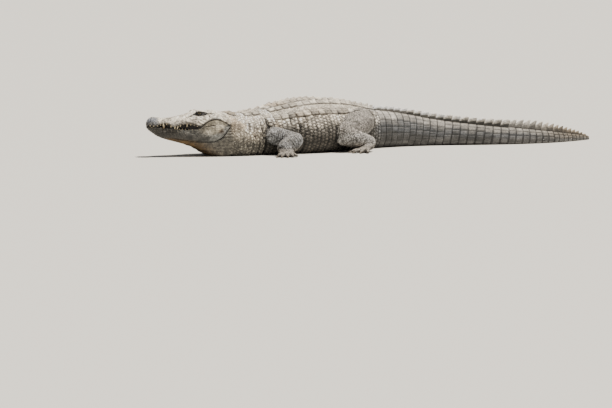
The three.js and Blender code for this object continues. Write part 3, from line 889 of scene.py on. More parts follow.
def mouth_relief(s, z, side, along):
    """The recess between the jaws and the swellings of the lips over the teeth, with painted shade in the
    recess, along its edges and in the notches between the teeth.
    """
    lip = curve(LIP, s)[:, 0]
    upper, lower = curve(GAPE, s).T
    lateral = (step(0.45, 0.7, side / lip) + step(16, 6, s)).clip(0, 1) * along
    inside = step(-2.2, 2.2, z - lower) * step(-2.2, 2.2, upper - z) * lateral
    wide = step(7, 24, upper - lower)
    lift = -mix(4.5, 11, wide) * inside
    dark = (1.2 + 0.3 * wide) * inside + 0.35 * bell(z - lower + 3, 4) * lateral
    dark += 0.7 * bell(z - upper - 4, 5) * lateral * step(262, 285, s) * step(455, 425, s)
    swell = mix(1.6, 3.2, bell(s - TEETH["lobe_at"], 55) + bell(s - 40, 30))
    for at in tooth_places():
        near = bell(s - at, 7.5) * lateral
        lift += near * swell * bell(z - upper - 9, 9)
        notch = bell(s - at - TEETH["pitch"] / 2, 3.8) * lateral
        lift -= 1.3 * notch * bell(z - upper - 6, 8)
        dark += 0.25 * notch * bell(z - upper - 3, 6)
        below = bell(s - at - TEETH["pitch"] / 2, 6.5) * bell(z - lower + 8, 7)
        lift += 1.8 * below * lateral * step(330, 290, s)
    lift += 1.2 * bell(z - lower + 6, 4) * lateral
    return lift, dark


JAW_JOINT = {"s": 431, "z": 153}  # the brown hollow at the back of the cheek
# Creases of the face: (s, z) on each, its rise for each mm of s, half width, where it fades in and out
# along s, where it fades in off the middle, depth and darkness, which is painted shade
FACE_CREASES = [
    ((277, 226), 0.14, 2.6, (250, 263, 290, 306), (60, 84), 2.8, 0.75),  # under the eye
    ((262, 246), 0.35, 2.4, (232, 244, 268, 276), (44, 58), 2.4, 0.6),  # ahead of the eye
    ((360, 246), -0.12, 2.6, (340, 362, 410, 440), (60, 84), 2.0, 0.35),  # temple
    ((430, 168), -0.2, 2.4, (396, 414, 456, 472), (60, 84), 2.0, 0.35),  # jowl
]
# Hollows of the face: (s, z), half sizes along and up, depth and darkness, which is painted shade
FACE_HOLLOWS = [
    ((JAW_JOINT["s"], JAW_JOINT["z"]), (13, 9), 3.0, 0.5),
    ((486, 192), (13, 8), 4.5, 0.8),  # behind the corner of the jaw
]


def face_folds(s, z, side):
    """Creases of the cheek, eye and ear: how far the skin stands out and how dark it is, which is painted
    shade in the creases, hollows and ear slit.
    """
    flank = step(60, 84, side)
    slash = bell(z - mix(186, 191, step(345, 400, s)), 2.6) * between(338, 352, 390, 412, s) * flank
    lift = 4.5 * bell(s - 424, 50) * bell(z - 186, 30) * flank - 3.4 * slash
    dark = 0.9 * slash
    for (at, height), (long, tall), depth, shade in FACE_HOLLOWS:
        near = bell(s - at, long) * bell(z - height, tall) * flank
        lift -= depth * near
        dark += shade * near
    for (at, height), rise, width, span, sides, depth, shade in FACE_CREASES:
        near = bell(z - height - rise * (s - at), width) * between(*span, s) * step(*sides, side)
        lift -= depth * near
        dark += shade * near
    ear_z = mix(265, 260, step(350, 410, s))
    ear = bell(z - ear_z, 2.2) * between(350, 362, 398, 416, s) * step(62, 70, side)
    ear_lid = bell(z - ear_z - 6, 4) * between(344, 358, 404, 424, s) * step(58, 66, side)
    return lift + 2.0 * ear_lid - 4 * ear, dark + 0.9 * ear


def upper_head_relief(s, z, points):
    """Bony bosses, knobs, pits and wrinkles of the snout and skull, with painted shade in the pits, between
    the bosses and in the wrinkles' troughs.
    """
    upper_lip = curve(GAPE, s)[:, 0]
    snout = step(330, 262, s)
    upper = step(3, 12, z - upper_lip)
    bone = cells(points * [0.8, 1, 1], 15, SEED)
    knobs = noise(points, 13, 3) + 0.6 * noise(points, 6.5, 4)
    pits = upper * snout * step(0.42, 0.7, noise(points, 7, 71))
    wrinkle = np.sin((s * 0.5 + z) / 2.9 + 3.0 * noise(points, 34, 73))
    lift = upper * (1.5 * step(0, 4.5, bone) - 0.9) * mix(0.8, 1, snout)
    lift += upper * (1.6 * knobs + 2.6 * snout * noise(points * [0.7, 1, 1], 30, 11))
    lift += 1.2 * upper * wrinkle * (1 - snout) - 2.0 * pits
    dark = 0.34 * upper * step(1.5, 0.2, bone) + 0.45 * pits
    dark += 0.26 * upper * step(-0.4, -0.95, wrinkle) * (1 - snout)
    return lift, dark


def jaw_relief(s, z, side, points):
    """The lower jaw's plates, the crease under its edge, and the soft throat's beads and ripples. Their
    darkness is painted shade in the crease and between the plates, beads and ripples, with blotches of the
    jaw's own dark.
    """
    lower_lip = curve(GAPE, s)[:, 1]
    edge = curve(JAW_EDGE, s)[:, 0]
    pouch = step(edge - 3, edge - 12, z)
    reach = between(100, 190, 480, 515, s) * step(20, 45, side)
    crease = bell(z - edge + 5, 5) * reach
    lift = 3.5 * bell(z - edge - 9, 10) * reach - 6.0 * crease
    dark = mix(0.3, 0.8, step(385, 425, s)) * crease

    jaw = step(-2, -9, z - lower_lip) * (1 - pouch)
    plates = cells(points * [0.85, 1, 1.2], 12, SEED + 20)
    lift += jaw * (1.3 * step(0, 2.8, plates) - 0.8 + 1.2 * noise(points, 9, 5) + 1.6 * noise(points, 24, 6))
    blotch = step(0.1, 0.6, noise(points, 11, 75)) * step(330, 210, s)
    dark += 0.32 * jaw * step(1.3, 0.1, plates) + 0.4 * jaw * blotch

    beads = cells(points * [0.75, 1, 1.5], 10, SEED + 40)
    ripple = np.sin(z / 3.1 + 2.4 * noise(points, 60, 9))
    soft = pouch * step(180, 300, s)
    lift += pouch * (step(0, 2.4, beads) - 0.6) + 1.3 * soft * ripple
    dark += 0.3 * pouch * step(1.2, 0.2, beads) + 0.3 * soft * step(-0.4, -0.95, ripple)
    return lift, dark


def nose_relief(s, z, side):
    """Nostrils with raised rims on the nose's knob, and the groove between them, with painted shade in the
    nostrils.
    """
    rows = bell(side - 12 - 3 * step(20, 44, s), 3.0)
    nostril = rows * between(15, 21, 34, 41, s) * step(222, 230, z)
    rim = bell(np.hypot((side - 13) / 9, (s - 28) / 16) - 1, 0.4) * step(212, 226, z) * step(70, 55, s)
    groove = bell(side, 4) * step(222, 230, z) * between(6, 14, 50, 60, s)
    return 3.0 * rim - 9 * nostril - 1.8 * groove, 1.3 * nostril


SOCKET = {"s": 315, "z": 261}  # middle of the hollow round the eye


def socket_depth(s, z, half_length, half_height):
    """1 in the middle of an oval of this size round the eye, 0 at its edge, and negative outside."""
    return 1 - ((s - SOCKET["s"]) / half_length) ** 2 - ((z - SOCKET["z"]) / half_height) ** 2


def brow_relief(s, z, side):
    """The eye sockets, the brows over them, the dip ahead of them, and the skull table's edges, with painted
    shade in the sockets.
    """
    brow_v = curve(SKULL, s)[:, 1]
    socket = step(-0.1, 0.5, socket_depth(s, z, 50, 13.5)) * step(46, 60, side)
    brow = bell(side - brow_v * 0.95, 7) * between(262, 285, 330, 352, s) * step(-3, 6, z - 272)
    dip = bell(s - 270, 24) * bell(side, 26) * step(0, 20, z - 230)
    table = bell(side - 64, 6) * between(345, 357, 440, 462, s) * step(262, 268, z)
    return 2.6 * brow + 1.5 * table - 4 * dip - 5.5 * socket, 0.75 * socket


def head_relief(s, v, z, points):
    """How far the head's skin stands out, in mm, and how dark its creases are: painted shade, with the jaw's
    own blotches.
    """
    side = np.abs(v)
    along = between(0, 6, 455, 492, s)
    layers = [
        mouth_relief(s, z, side, along),
        face_folds(s, z, side),
        upper_head_relief(s, z, points),
        jaw_relief(s, z, side, points),
        nose_relief(s, z, side),
        brow_relief(s, z, side),
    ]
    return sum(lift for lift, _ in layers), sum(dark for _, dark in layers)


# Upright folds of the neck and flanks: [s, width, depth]
FOLDS = [
    (700, 12, 9),
    (664, 9, 4),
    (628, 9, 3.5),
    (596, 8, 2),
    (850, 11, 6),
    (889, 10, 5),
    (934, 11, 3.5),
    (1042, 10, 2),
    (1096, 11, 3),
    (1150, 10, 2),
    (1204, 11, 3.5),
    (1258, 11, 4.5),
    (1304, 9, 5),
    (1340, 9, 5),
]


def body_relief(s, z, q, points, limb_gap):
    """Folds of the neck and flanks: how far the skin stands out, in mm, and how dark they are, which is
    painted shade in the folds.
    """
    flank = between(0.2, 0.36, 0.8, 0.97, q)
    sway = s + 7 * noise(points * [0.2, 0.2, 1], 40, 17) - (z - 120) * 0.08
    lift = np.zeros(len(s))
    dark = np.zeros(len(s))
    for at, width, depth in FOLDS:
        near = bell(sway - at, width) * flank
        lift += 0.45 * depth * bell(sway - at - 1.9 * width, width) * flank - depth * near
        dark += 0.08 * depth * bell(sway - at, 0.7 * width) * flank
    wave = noise(points * [1, 1, 0.45], 30, 23)
    lift += 2.4 * wave * flank * between(HEAD_END, 560, 1500, 1650, s)
    lift += step(10, 30, limb_gap) * noise(points, 16, 29) * step(0.1, 0.3, q)
    return lift, dark


WRINKLE_SPACING = 3.3  # of the skin folds inside a bend, in mm for each radian of their wave


def limb_relief(points, which):
    """Soft wrinkles across the limbs, deepest inside their bends: lift in mm, and how dark they are, which
    is painted shade in their troughs.
    """
    lift = np.zeros(len(points))
    dark = np.zeros(len(points))
    for number, parts in enumerate(limbs):
        mine = which == number
        at = points[mine]
        bend = bell(np.linalg.norm(at - parts["upper"][0][-1], axis=1), 52)
        bend += bell(np.linalg.norm(at - parts["wrist"], axis=1), 50)
        lower = parts["lower"][0]
        axis = unit(lower[-1] - lower[0])
        middle = bell(np.linalg.norm(at - lower[len(lower) // 2] - parts["axis"] * 30, axis=1), 60)
        wave = np.sin((at @ axis) / WRINKLE_SPACING + 2.2 * noise(at, 45, 31))
        deep = np.maximum(0.8 * bend, 1.1 * middle * (number < FORELEGS))
        lift[mine] = 2.0 * deep * wave + 1.8 * noise(at, 28, 37)
        dark[mine] = 0.55 * deep * step(-0.2, -0.9, wave)
    return lift, dark


# ---------------------------------------------------------------- colours
def linear(*rgb):
    """Display colour, 0..255, as linear light."""
    c = np.array(rgb, float) / 255
    return np.where(c <= 0.04045, c / 12.92, ((c + 0.055) / 1.055) ** 2.4)


DUST = linear(222, 210, 189)
BACK = linear(218, 208, 192)
SIDE = linear(88, 84, 78)
# LOW_SIDE: darker than the flanks' own colour, with painted shade under the body's bulge
LOW_SIDE = linear(60, 56, 50)
BELLY = linear(150, 141, 120)
NECK_SIDE = linear(178, 168, 152)
HEAD_TOP = linear(242, 233, 216)
HEAD_SIDE = linear(214, 205, 188)
# bluish grey painted shade on the front of the snout
SNOUT_FRONT_SHADE = linear(122, 128, 140)
# LIP_EDGE: partly the lips' own dark and partly painted shade where the upper lip turns under
LIP_EDGE = linear(54, 52, 49)
HEAD_FLECK = linear(118, 110, 98)
CHEEK = linear(194, 185, 166)
# JAW_FRONT: the lower jaw's own dark, also laid on its lower part as painted shade
JAW_FRONT = linear(58, 55, 50)
JAW_SIDE = linear(120, 120, 116)
JAW_STREAK = linear(186, 180, 166)
JOINT_SPOT = linear(84, 58, 28)
THROAT = linear(92, 71, 42)
THROAT_REAR = linear(112, 108, 99)
# EYE_PATCH: partly the lids' own dark skin and partly painted shade in the socket under the brow
EYE_PATCH = linear(26, 23, 21)
FORE = linear(140, 141, 143)
HIND = linear(148, 143, 137)
SHANK = linear(182, 179, 175)
FOOT = linear(146, 139, 130)
TAIL_TOP = linear(180, 175, 167)
TAIL_SIDE = linear(90, 92, 95)
TAIL_LOW = linear(88, 87, 86)
TAIL_END = linear(120, 108, 92)
MUD = linear(160, 134, 100)
# DEEP: the darkest colour, for painted shade in creases and between scales, and for fine cracks
DEEP = linear(22, 19, 16)
# How bright the tail's top, side and foot are along it: [s, top, side, foot]. The foot's low values by the
# hip are painted shade behind the thigh.
TAIL_TONES = [
    [1500, 1.1, 0.8, 0.62],
    [1660, 1.05, 0.9, 0.7],
    [1900, 0.78, 1.0, 0.9],
    [2250, 0.5, 0.92, 1.15],
    [2650, 0.48, 0.95, 1.5],
    [3200, 0.62, 0.95, 1.45],
]


def blend(a, b, share):
    """Colours between a and b, by each point's share."""
    return mix(a, b, share[:, None])


def leg_fold(s, z, limb_gap):
    """How deep in the fold beside a leg a point of the trunk lies, from 0 to 1: it sets the groove there and
    the painted shade in it.
    """
    return bell(limb_gap.clip(0, None), 22) * step(225, 140, z) * step(HEAD_END, HEAD_END + 60, s)


def jaw_tints(points, s, v, z, patch):
    """The lower jaw: dark in front, grey at the side, pale at the cheek, with streaks under the teeth and
    dark blotches. Painted shade darkens its lower part, and partly its front.
    """
    lower = curve(GAPE, s)[:, 1]
    edge = curve(JAW_EDGE, s)[:, 0]
    jaw = blend(JAW_FRONT, JAW_SIDE, step(110, 250, s + 300 * patch))
    jaw = blend(jaw, CHEEK, step(280, 365, s) * step(edge + 30, edge + 56, z + 60 * patch))
    jaw = blend(jaw, JAW_FRONT, 0.6 * step(0.05, 0.5, noise(points, 12, 83)) * step(420, 200, s))
    streak = noise(np.column_stack([2.2 * s + 0.8 * z, 0.6 * z, v]), 14, 85)
    streak = step(0.1, 0.55, streak) * step(lower - 66, lower - 20, z) * between(40, 90, 250, 330, s)
    jaw = blend(jaw, JAW_STREAK, 0.42 * streak)
    # painted shade on the lower part of the jaw's side
    jaw = blend(jaw, JAW_FRONT, 0.8 * step(edge + 52, edge + 24, z + 80 * patch) * step(400, 330, s))
    joint = bell(s - JAW_JOINT["s"], 17) * bell(z - JAW_JOINT["z"], 12) * step(60, 84, np.abs(v))
    return blend(jaw, JOINT_SPOT, 0.85 * joint)


def head_tints(points, s, v, z, patch):
    """The head's colour, from the pale snout to the tan throat, with painted shade on the snout's front,
    along the upper lip, round the eye and on the lower jaw.
    """
    upper, lower = curve(GAPE, s).T
    edge = curve(JAW_EDGE, s)[:, 0]
    made = blend(HEAD_SIDE, HEAD_TOP, step(215, 240, z + 60 * patch))
    for size, share in ((19, 0.5), (8, 0.75)):
        fleck = step(0.08, 0.5, noise(points, size, 81) - 0.25 * step(250, 268, z))
        made = blend(made, HEAD_FLECK, share * fleck)
    # painted shade on the snout's front, under the nose's top
    made = blend(made, SNOUT_FRONT_SHADE, step(74, 44, s) * step(242, 226, z - 0.2 * s + 40 * patch))
    # the lips' own dark and painted shade where the upper lip turns under
    band = mix(19, 32, step(100, 40, s))
    lip = step(band, 0.3 * band, z - upper + 70 * patch) * step(325, 285, s)
    made = blend(made, LIP_EDGE, 0.85 * lip)
    made = blend(made, jaw_tints(points, s, v, z, patch), step(3, -3, z - (upper + lower) / 2))
    throat = blend(THROAT, THROAT_REAR, step(290, 420, s + 1.2 * (z - 60)))
    throat = throat * (1 - 0.3 * step(0.0, 0.5, noise(points * [0.3, 0.3, 1], 12, 87)))[:, None]
    made = blend(made, throat, step(edge, edge - 14, z + 60 * patch) * step(80, 150, s))
    # the lids' dark skin and painted shade in the socket round the eye
    by_eye = step(-0.1, 0.4, socket_depth(s, z, 56, 15)) * step(46, 60, np.abs(v))
    return blend(made, EYE_PATCH, 0.9 * by_eye)


def trunk_tints(points, s, q):
    """The neck's, trunk's and tail's colour, from the dusty back to the belly, with painted shade low on the
    flanks and on the tail's foot by the hip.
    """
    tail = step(1470, 1620, s)
    end = step(2650, 3050, s)
    neck = step(760, 640, s)
    top = blend(blend(BACK, TAIL_TOP, tail), TAIL_END, end)
    mid = blend(blend(SIDE, TAIL_SIDE, tail), TAIL_END, 0.6 * end)
    low = blend(LOW_SIDE, TAIL_LOW, tail)
    tone_top, tone_side, tone_low = mix(1, curve(TAIL_TONES, s), tail[:, None]).T[:, :, None]
    mid = blend(mid * tone_side, NECK_SIDE, neck)
    low = blend(low * tone_low, THROAT_REAR, 0.8 * neck)
    made = blend(top * tone_top, mid, step(0.29 - 0.05 * tail, 0.46 - 0.06 * tail, q))
    # painted shade low on the flanks and on the tail's foot
    made = blend(made, low, step(0.44, 0.6, q + 0.03 * tail))
    mud = step(0.0, 0.5, noise(points, 85, 91) + 0.4 * noise(points, 26, 93)) * step(0.55, 0.3, q)
    made = blend(made, MUD, 0.6 * mud * step(1500, 1100, s) * (0.35 + 0.65 * step(980, 800, s)))
    return blend(made, BELLY, step(0.84, 0.95, q) * (1 - 0.5 * tail))


def leg_tints(z, which):
    """The legs' own colour: which tells fore from hind."""
    leg = np.where((which < FORELEGS)[:, None], FORE, HIND)
    leg = blend(leg, SHANK, (which >= FORELEGS) * step(135, 105, z))
    return blend(leg, FOOT, step(70, 30, z))


def tints(points):
    """The hide's colour at each point, from where it is on the animal, with painted shade in the folds, in
    the limbs' wrinkles and beside the legs, and dark crack lines on the limbs.
    """
    s, v = locate(points)
    z = points[:, 2]
    limb_gap, which = limb_distance(points)
    body_gap, q = body_distance(s, v, z)
    patch = 0.07 * noise(points, 90, 41) + 0.05 * noise(points, 35, 43)
    q = q + patch
    on_head = step(HEAD_END + 14, HEAD_END - 14, s)
    on_limb = step(7, -5, limb_gap - body_gap.clip(0, 8)) * step(HEAD_END, HEAD_END + 30, s)
    made = blend(trunk_tints(points, s, q), head_tints(points, s, v, z, patch), on_head)
    made = blend(made, leg_tints(z, which), on_limb)
    # painted shade in the folds of the neck and flanks, and in the limbs' wrinkles; the limbs also get dark
    # crack lines
    shade = 1.3 * body_relief(s, z, q, points, limb_gap)[1] * (1 - on_limb)
    mine = on_limb > 0
    crack = step(2.4, 0.3, cells(points[mine], 24, 61))
    shade[mine] += on_limb[mine] * (0.9 * limb_relief(points[mine], which[mine])[1] + 0.5 * crack)
    speckle = 1 + 0.42 * noise(points, 24, 47) + 0.5 * noise(points, 9, 53)
    # painted shade in the fold beside each leg
    fold = 0.85 * leg_fold(s, z, limb_gap) * (1 - on_limb)
    return made * ((1 - shade.clip(0, 0.85)) * speckle.clip(0.3, 1.6) * (1 - fold))[:, None]


def set_colours(mesh, colours, lit):
    """The hide's colour, and how exposed each point is: 0 in a crease, 1 on top. The material paints shade
    where a point is little exposed.
    """
    rgba = np.ones((len(colours), 4), np.float32)
    rgba[:, :3] = colours.clip(0, 1)
    layer = mesh.color_attributes.new("tint", "FLOAT_COLOR", "POINT")
    layer.data.foreach_set("color", rgba.ravel())
    set_values(mesh, "exposed", lit.clip(0, 1))


# ---------------------------------------------------------------- materials
class Shader:
    """A material's node tree, with short calls for adding and joining nodes."""

    def __init__(self, name):
        self.material = bpy.data.materials.new(name)
        self.material.use_nodes = True
        self.tree = self.material.node_tree
        self.tree.nodes.clear()
        self.surface = self.tree.nodes.new("ShaderNodeBsdfPrincipled")
        output = self.tree.nodes.new("ShaderNodeOutputMaterial")
        self.tree.links.new(self.surface.outputs[0], output.inputs["Surface"])

    def join(self, value, socket):
        """Links another node's output to a socket, or sets the socket to a plain value."""
        if isinstance(value, bpy.types.NodeSocket):
            self.tree.links.new(value, socket)
        else:
            socket.default_value = value

    def node(self, kind, inputs=None, **settings):
        """A new node, with its inputs joined."""
        made = self.tree.nodes.new(kind)
        for name, value in settings.items():
            setattr(made, name, value)
        for key, value in (inputs or {}).items():
            self.join(value, made.inputs[key])
        return made

    def math(self, operation, a, b):
        """One sum of two numbers."""
        return self.node("ShaderNodeMath", {0: a, 1: b}, operation=operation).outputs[0]

    def blend(self, share, a, b, mode="MIX"):
        """Colour a with b laid over it by share."""
        made = self.node("ShaderNodeMix", {0: share, 6: a, 7: b}, data_type="RGBA", blend_type=mode)
        return made.outputs[2]

    def ramp(self, value, low, high, a=0.0, b=1.0):
        """a where value is low, b where it is high, and in proportion between."""
        inputs = {"Value": value, "From Min": low, "From Max": high, "To Min": a, "To Max": b}
        return self.node("ShaderNodeMapRange", inputs).outputs["Result"]

    def place(self):
        """Where a point is on the piece, in metres."""
        return self.node("ShaderNodeTexCoord").outputs["Object"]

    def noise(self, scale, detail=3.0, rough=0.6):
        """Cloudy noise in 0..1, with scale features to the metre."""
        inputs = {"Vector": self.place(), "Scale": scale, "Detail": detail, "Roughness": rough}
        return self.node("ShaderNodeTexNoise", inputs).outputs["Fac"]

    def cells(self, scale):
        """Distance to the borders between random cells, scale of them to the metre."""
        inputs = {"Vector": self.place(), "Scale": scale}
        return self.node("ShaderNodeTexVoronoi", inputs, feature="DISTANCE_TO_EDGE").outputs["Distance"]

    def attribute(self, name, output):
        """A value that the mesh carries at each point."""
        return self.node("ShaderNodeAttribute", attribute_name=name).outputs[output]

    def bumps(self, height, strength, distance):
        """The surface's direction with fine bumps, distance high in metres."""
        inputs = {"Strength": strength, "Distance": distance, "Height": height}
        return self.node("ShaderNodeBump", inputs).outputs[0]

    def set(self, **inputs):
        """Sets the surface's own inputs; an underscore stands for a space in a name."""
        for key, value in inputs.items():
            self.join(value, self.surface.inputs[key.replace("_", " ")])


def rgba(colour):
    """A colour as a shader's socket takes it."""
    return (*[float(c) for c in colour], 1.0)


def hide_material():
    """Dry hide: dust on what faces up and stands out, painted shade in creases and between scales, dark fine
    cracks, fine grain.
    """
    shader = Shader("hide")
    base = shader.attribute("tint", "Color")
    exposed = shader.attribute("exposed", "Fac")
    up = shader.node("ShaderNodeSeparateXYZ", {0: shader.node("ShaderNodeNewGeometry").outputs["Normal"]})
    mottle = shader.noise(55.0, 5.0, 0.7)
    grain = shader.noise(480.0, 4.0, 0.75)
    crackle = shader.ramp(shader.cells(420.0), 0.0, 0.14)
    speck = shader.noise(170.0, 3.0, 0.65)
    tones = [(mottle, 0.3, 0.7, 0.62, 1.3), (speck, 0.36, 0.64, 0.72, 1.26), (grain, 0.32, 0.68, 0.76, 1.2)]
    for tone in tones:
        base = shader.blend(1.0, base, shader.ramp(*tone), "MULTIPLY")
    facing = shader.ramp(up.outputs["Z"], 0.05, 0.95)
    dusty = shader.math("MULTIPLY", facing, shader.ramp(speck, 0.4, 0.6, 0.05, 0.52))
    dusty = shader.math("MULTIPLY", dusty, shader.ramp(exposed, 0.45, 1.0))
    base = shader.blend(dusty, base, rgba(DUST))
    # painted shade: the less exposed a point, the nearer its colour comes to DEEP
    base = shader.blend(shader.ramp(exposed, 0.0, 0.5, 0.96, 0.0), base, rgba(DEEP))
    base = shader.blend(shader.ramp(crackle, 0.0, 1.0, 0.24, 0.0), base, rgba(DEEP))
    height = shader.math("ADD", shader.math("MULTIPLY", grain, 0.6), shader.math("MULTIPLY", crackle, 0.25))
    height = shader.math("ADD", height, shader.math("MULTIPLY", mottle, 0.5))
    rough = shader.ramp(mottle, 0.3, 0.7, 0.5, 0.8)
    shader.set(Base_Color=base, Roughness=rough, Normal=shader.bumps(height, 0.8, 0.0016))
    return shader.material


def stained_material(name, grain, ends, stain, stained, rough, bump):
    """Ivory or horn, from its root's colour to its tip's, with stains.
    grain is (scale, detail), stained (from, to, most), rough (smoothest, roughest), bump (strength, m)."""
    shader = Shader(name)
    depth = shader.attribute("exposed", "Fac")
    stains = shader.noise(*grain)
    base = shader.blend(depth, *[rgba(linear(*end)) for end in ends])
    low, high, most = stained
    base = shader.blend(shader.ramp(stains, low, high, 0.0, most), base, rgba(linear(*stain)))
    bumps = shader.bumps(stains, *bump)
    shader.set(Base_Color=base, Roughness=shader.ramp(stains, 0.3, 0.7, *rough), Normal=bumps)
    return shader.material


def tooth_material():
    """Worn ivory, brown at the root."""
    ends, stain = [(96, 80, 56), (192, 180, 152)], (176, 150, 104)
    stained, rough, bump = (0.5, 0.75, 0.35), (0.28, 0.45), (0.3, 0.0004)
    return stained_material("ivory", (260.0, 3.0), ends, stain, stained, rough, bump)


def claw_material():
    """Dark horn, paler towards the tip."""
    ends, stain = [(40, 35, 30), (104, 92, 76)], (66, 58, 48)
    stained, rough, bump = (0.45, 0.7, 0.5), (0.35, 0.6), (0.4, 0.0005)
    return stained_material("horn", (300.0, 4.0), ends, stain, stained, rough, bump)


def eye_material():
    """Olive iris with a slit pupil, under a clear wet front."""
    shader = Shader("iris")
    gaze = shader.attribute("gaze", "Fac")
    slit = shader.attribute("slit", "Fac")
    fleck = shader.noise(520.0, 4.0)
    iris = shader.blend(shader.ramp(fleck, 0.35, 0.65), rgba(linear(46, 38, 20)), rgba(linear(96, 82, 44)))
    iris = shader.blend(shader.ramp(gaze, 0.6, 0.95), iris, rgba(linear(24, 20, 14)))
    base = shader.blend(shader.ramp(slit, 0.9, 1.1), rgba(linear(4, 4, 4)), iris)
    rough = shader.ramp(fleck, 0.3, 0.7, 0.12, 0.2)
    shader.set(Base_Color=base, Roughness=rough, Coat_Weight=1.0, Coat_Roughness=0.03)
    return shader.material


# ---------------------------------------------------------------- pieces
def add_object(name, mesh, material):
    """A piece of the animal in one material, riding on its only body."""
    mesh.materials.append(material)
    ob = new_object(name, mesh)
    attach(ob, "root")
    return ob


def triangle_mesh(name, points, triangles):
    """A smooth-shaded mesh from arrays."""
    mesh = bpy.data.meshes.new(name)
    mesh.vertices.add(len(points))
    mesh.vertices.foreach_set("co", (points * MM).astype(np.float32).ravel())
    mesh.loops.add(triangles.size)
    mesh.loops.foreach_set("vertex_index", triangles.astype(np.int32).ravel())
    mesh.polygons.add(len(triangles))
    mesh.polygons.foreach_set("loop_start", np.arange(0, triangles.size, 3, dtype=np.int32))
    mesh.polygons.foreach_set("use_smooth", np.ones(len(triangles), bool))
    mesh.update(calc_edges=True)
    return mesh


class Skin:
    """The finished skin as a surface that scales can be set on."""

    def __init__(self, mesh):
        starts, totals = read(mesh.polygons, "loop_start"), read(mesh.polygons, "loop_total")
        corners = read(mesh.loops, "vertex_index")
        faces = [corners[a : a + n].tolist() for a, n in zip(starts.tolist(), totals.tolist())]
        self.face_normals = unit(np.add.reduceat(normals(mesh)[corners], starts, axis=0))
        self.tree = BVHTree.FromPolygons(coordinates(mesh).tolist(), faces)

    def nearest(self, points):
        """The skin's nearest point to each point, its normal there, and the distance."""
        found = [self.tree.find_nearest(Vector(p)) for p in points.tolist()]
        at = np.array([f[0] for f in found], float)
        normal = self.face_normals[[f[2] for f in found]]
        return at, normal, np.array([f[3] for f in found])


# ---------------------------------------------------------------- scales
def fan(sides, first, centre, turned=False):
    """Triangles from a centre point to a ring of points."""
    k = np.arange(sides)
    one, other = first + k, first + (k + 1) % sides
    return np.stack([np.full(sides, centre), *([other, one] if turned else [one, other])], 1)


def band(sides, inner, outer):
    """Triangles between two rings of points."""
    k = np.arange(sides)
    a, b = inner + k, inner + (k + 1) % sides
    c, d = outer + k, outer + (k + 1) % sides
    return np.vstack([np.stack([a, c, b], 1), np.stack([b, c, d], 1)])


def bead_template(sides=8, rings=(0.5, 0.84), levels=(0.9, 0.58), tones=(0.5, 1.3)):
    """A low closed dome: places over the scale, height shares, how exposed and pale, and triangles. It is
    darker at its rim, which is painted shade, and paler on top.
    """
    turn = np.linspace(0, 2 * np.pi, sides, endpoint=False)
    circle = np.stack([np.cos(turn), np.sin(turn)], 1)
    places = [np.zeros((1, 2))] + [circle * r for r in rings] + [circle, np.zeros((1, 2))]
    heights = [np.ones(1)] + [np.full(sides, h) for h in levels] + [np.full(sides, -1.0), np.full(1, -1.0)]
    first = [1 + sides * k for k in range(len(rings) + 1)]
    triangles = [fan(sides, 1, 0)]
    triangles += [band(sides, a, b) for a, b in zip(first, first[1:])]
    triangles.append(fan(sides, first[-1], first[-1] + sides, turned=True))
    levels = np.concatenate(heights)
    return {
        "places": np.vstack(places),
        "levels": levels,
        "keel": np.zeros(len(levels)),
        "lit": np.where(levels < 0, 0.0, 0.3 + 0.65 * step(0.3, 0.95, levels)),
        "tone": mix(*tones, step(0.2, 1.0, levels)),
        "triangles": np.vstack(triangles),
    }


KEEL_PEAK = 0.76  # where a keel is highest, from -1 at its front to 1 at its back


def ridge(ahead):
    """Height of a back plate's keel along it: it climbs to the back and drops behind its peak."""
    rise = mix(0.25, 1, step(-1.1, KEEL_PEAK, ahead))
    return np.where(ahead < KEEL_PEAK, rise, step(1.02, KEEL_PEAK, ahead))


def flap(ahead):
    """Height of a crest scute along it: it climbs in a curve, and is cut off behind."""
    return ((ahead + 1) / 1.5).clip(0, 1) ** 0.48 * step(1.03, 0.84, ahead)


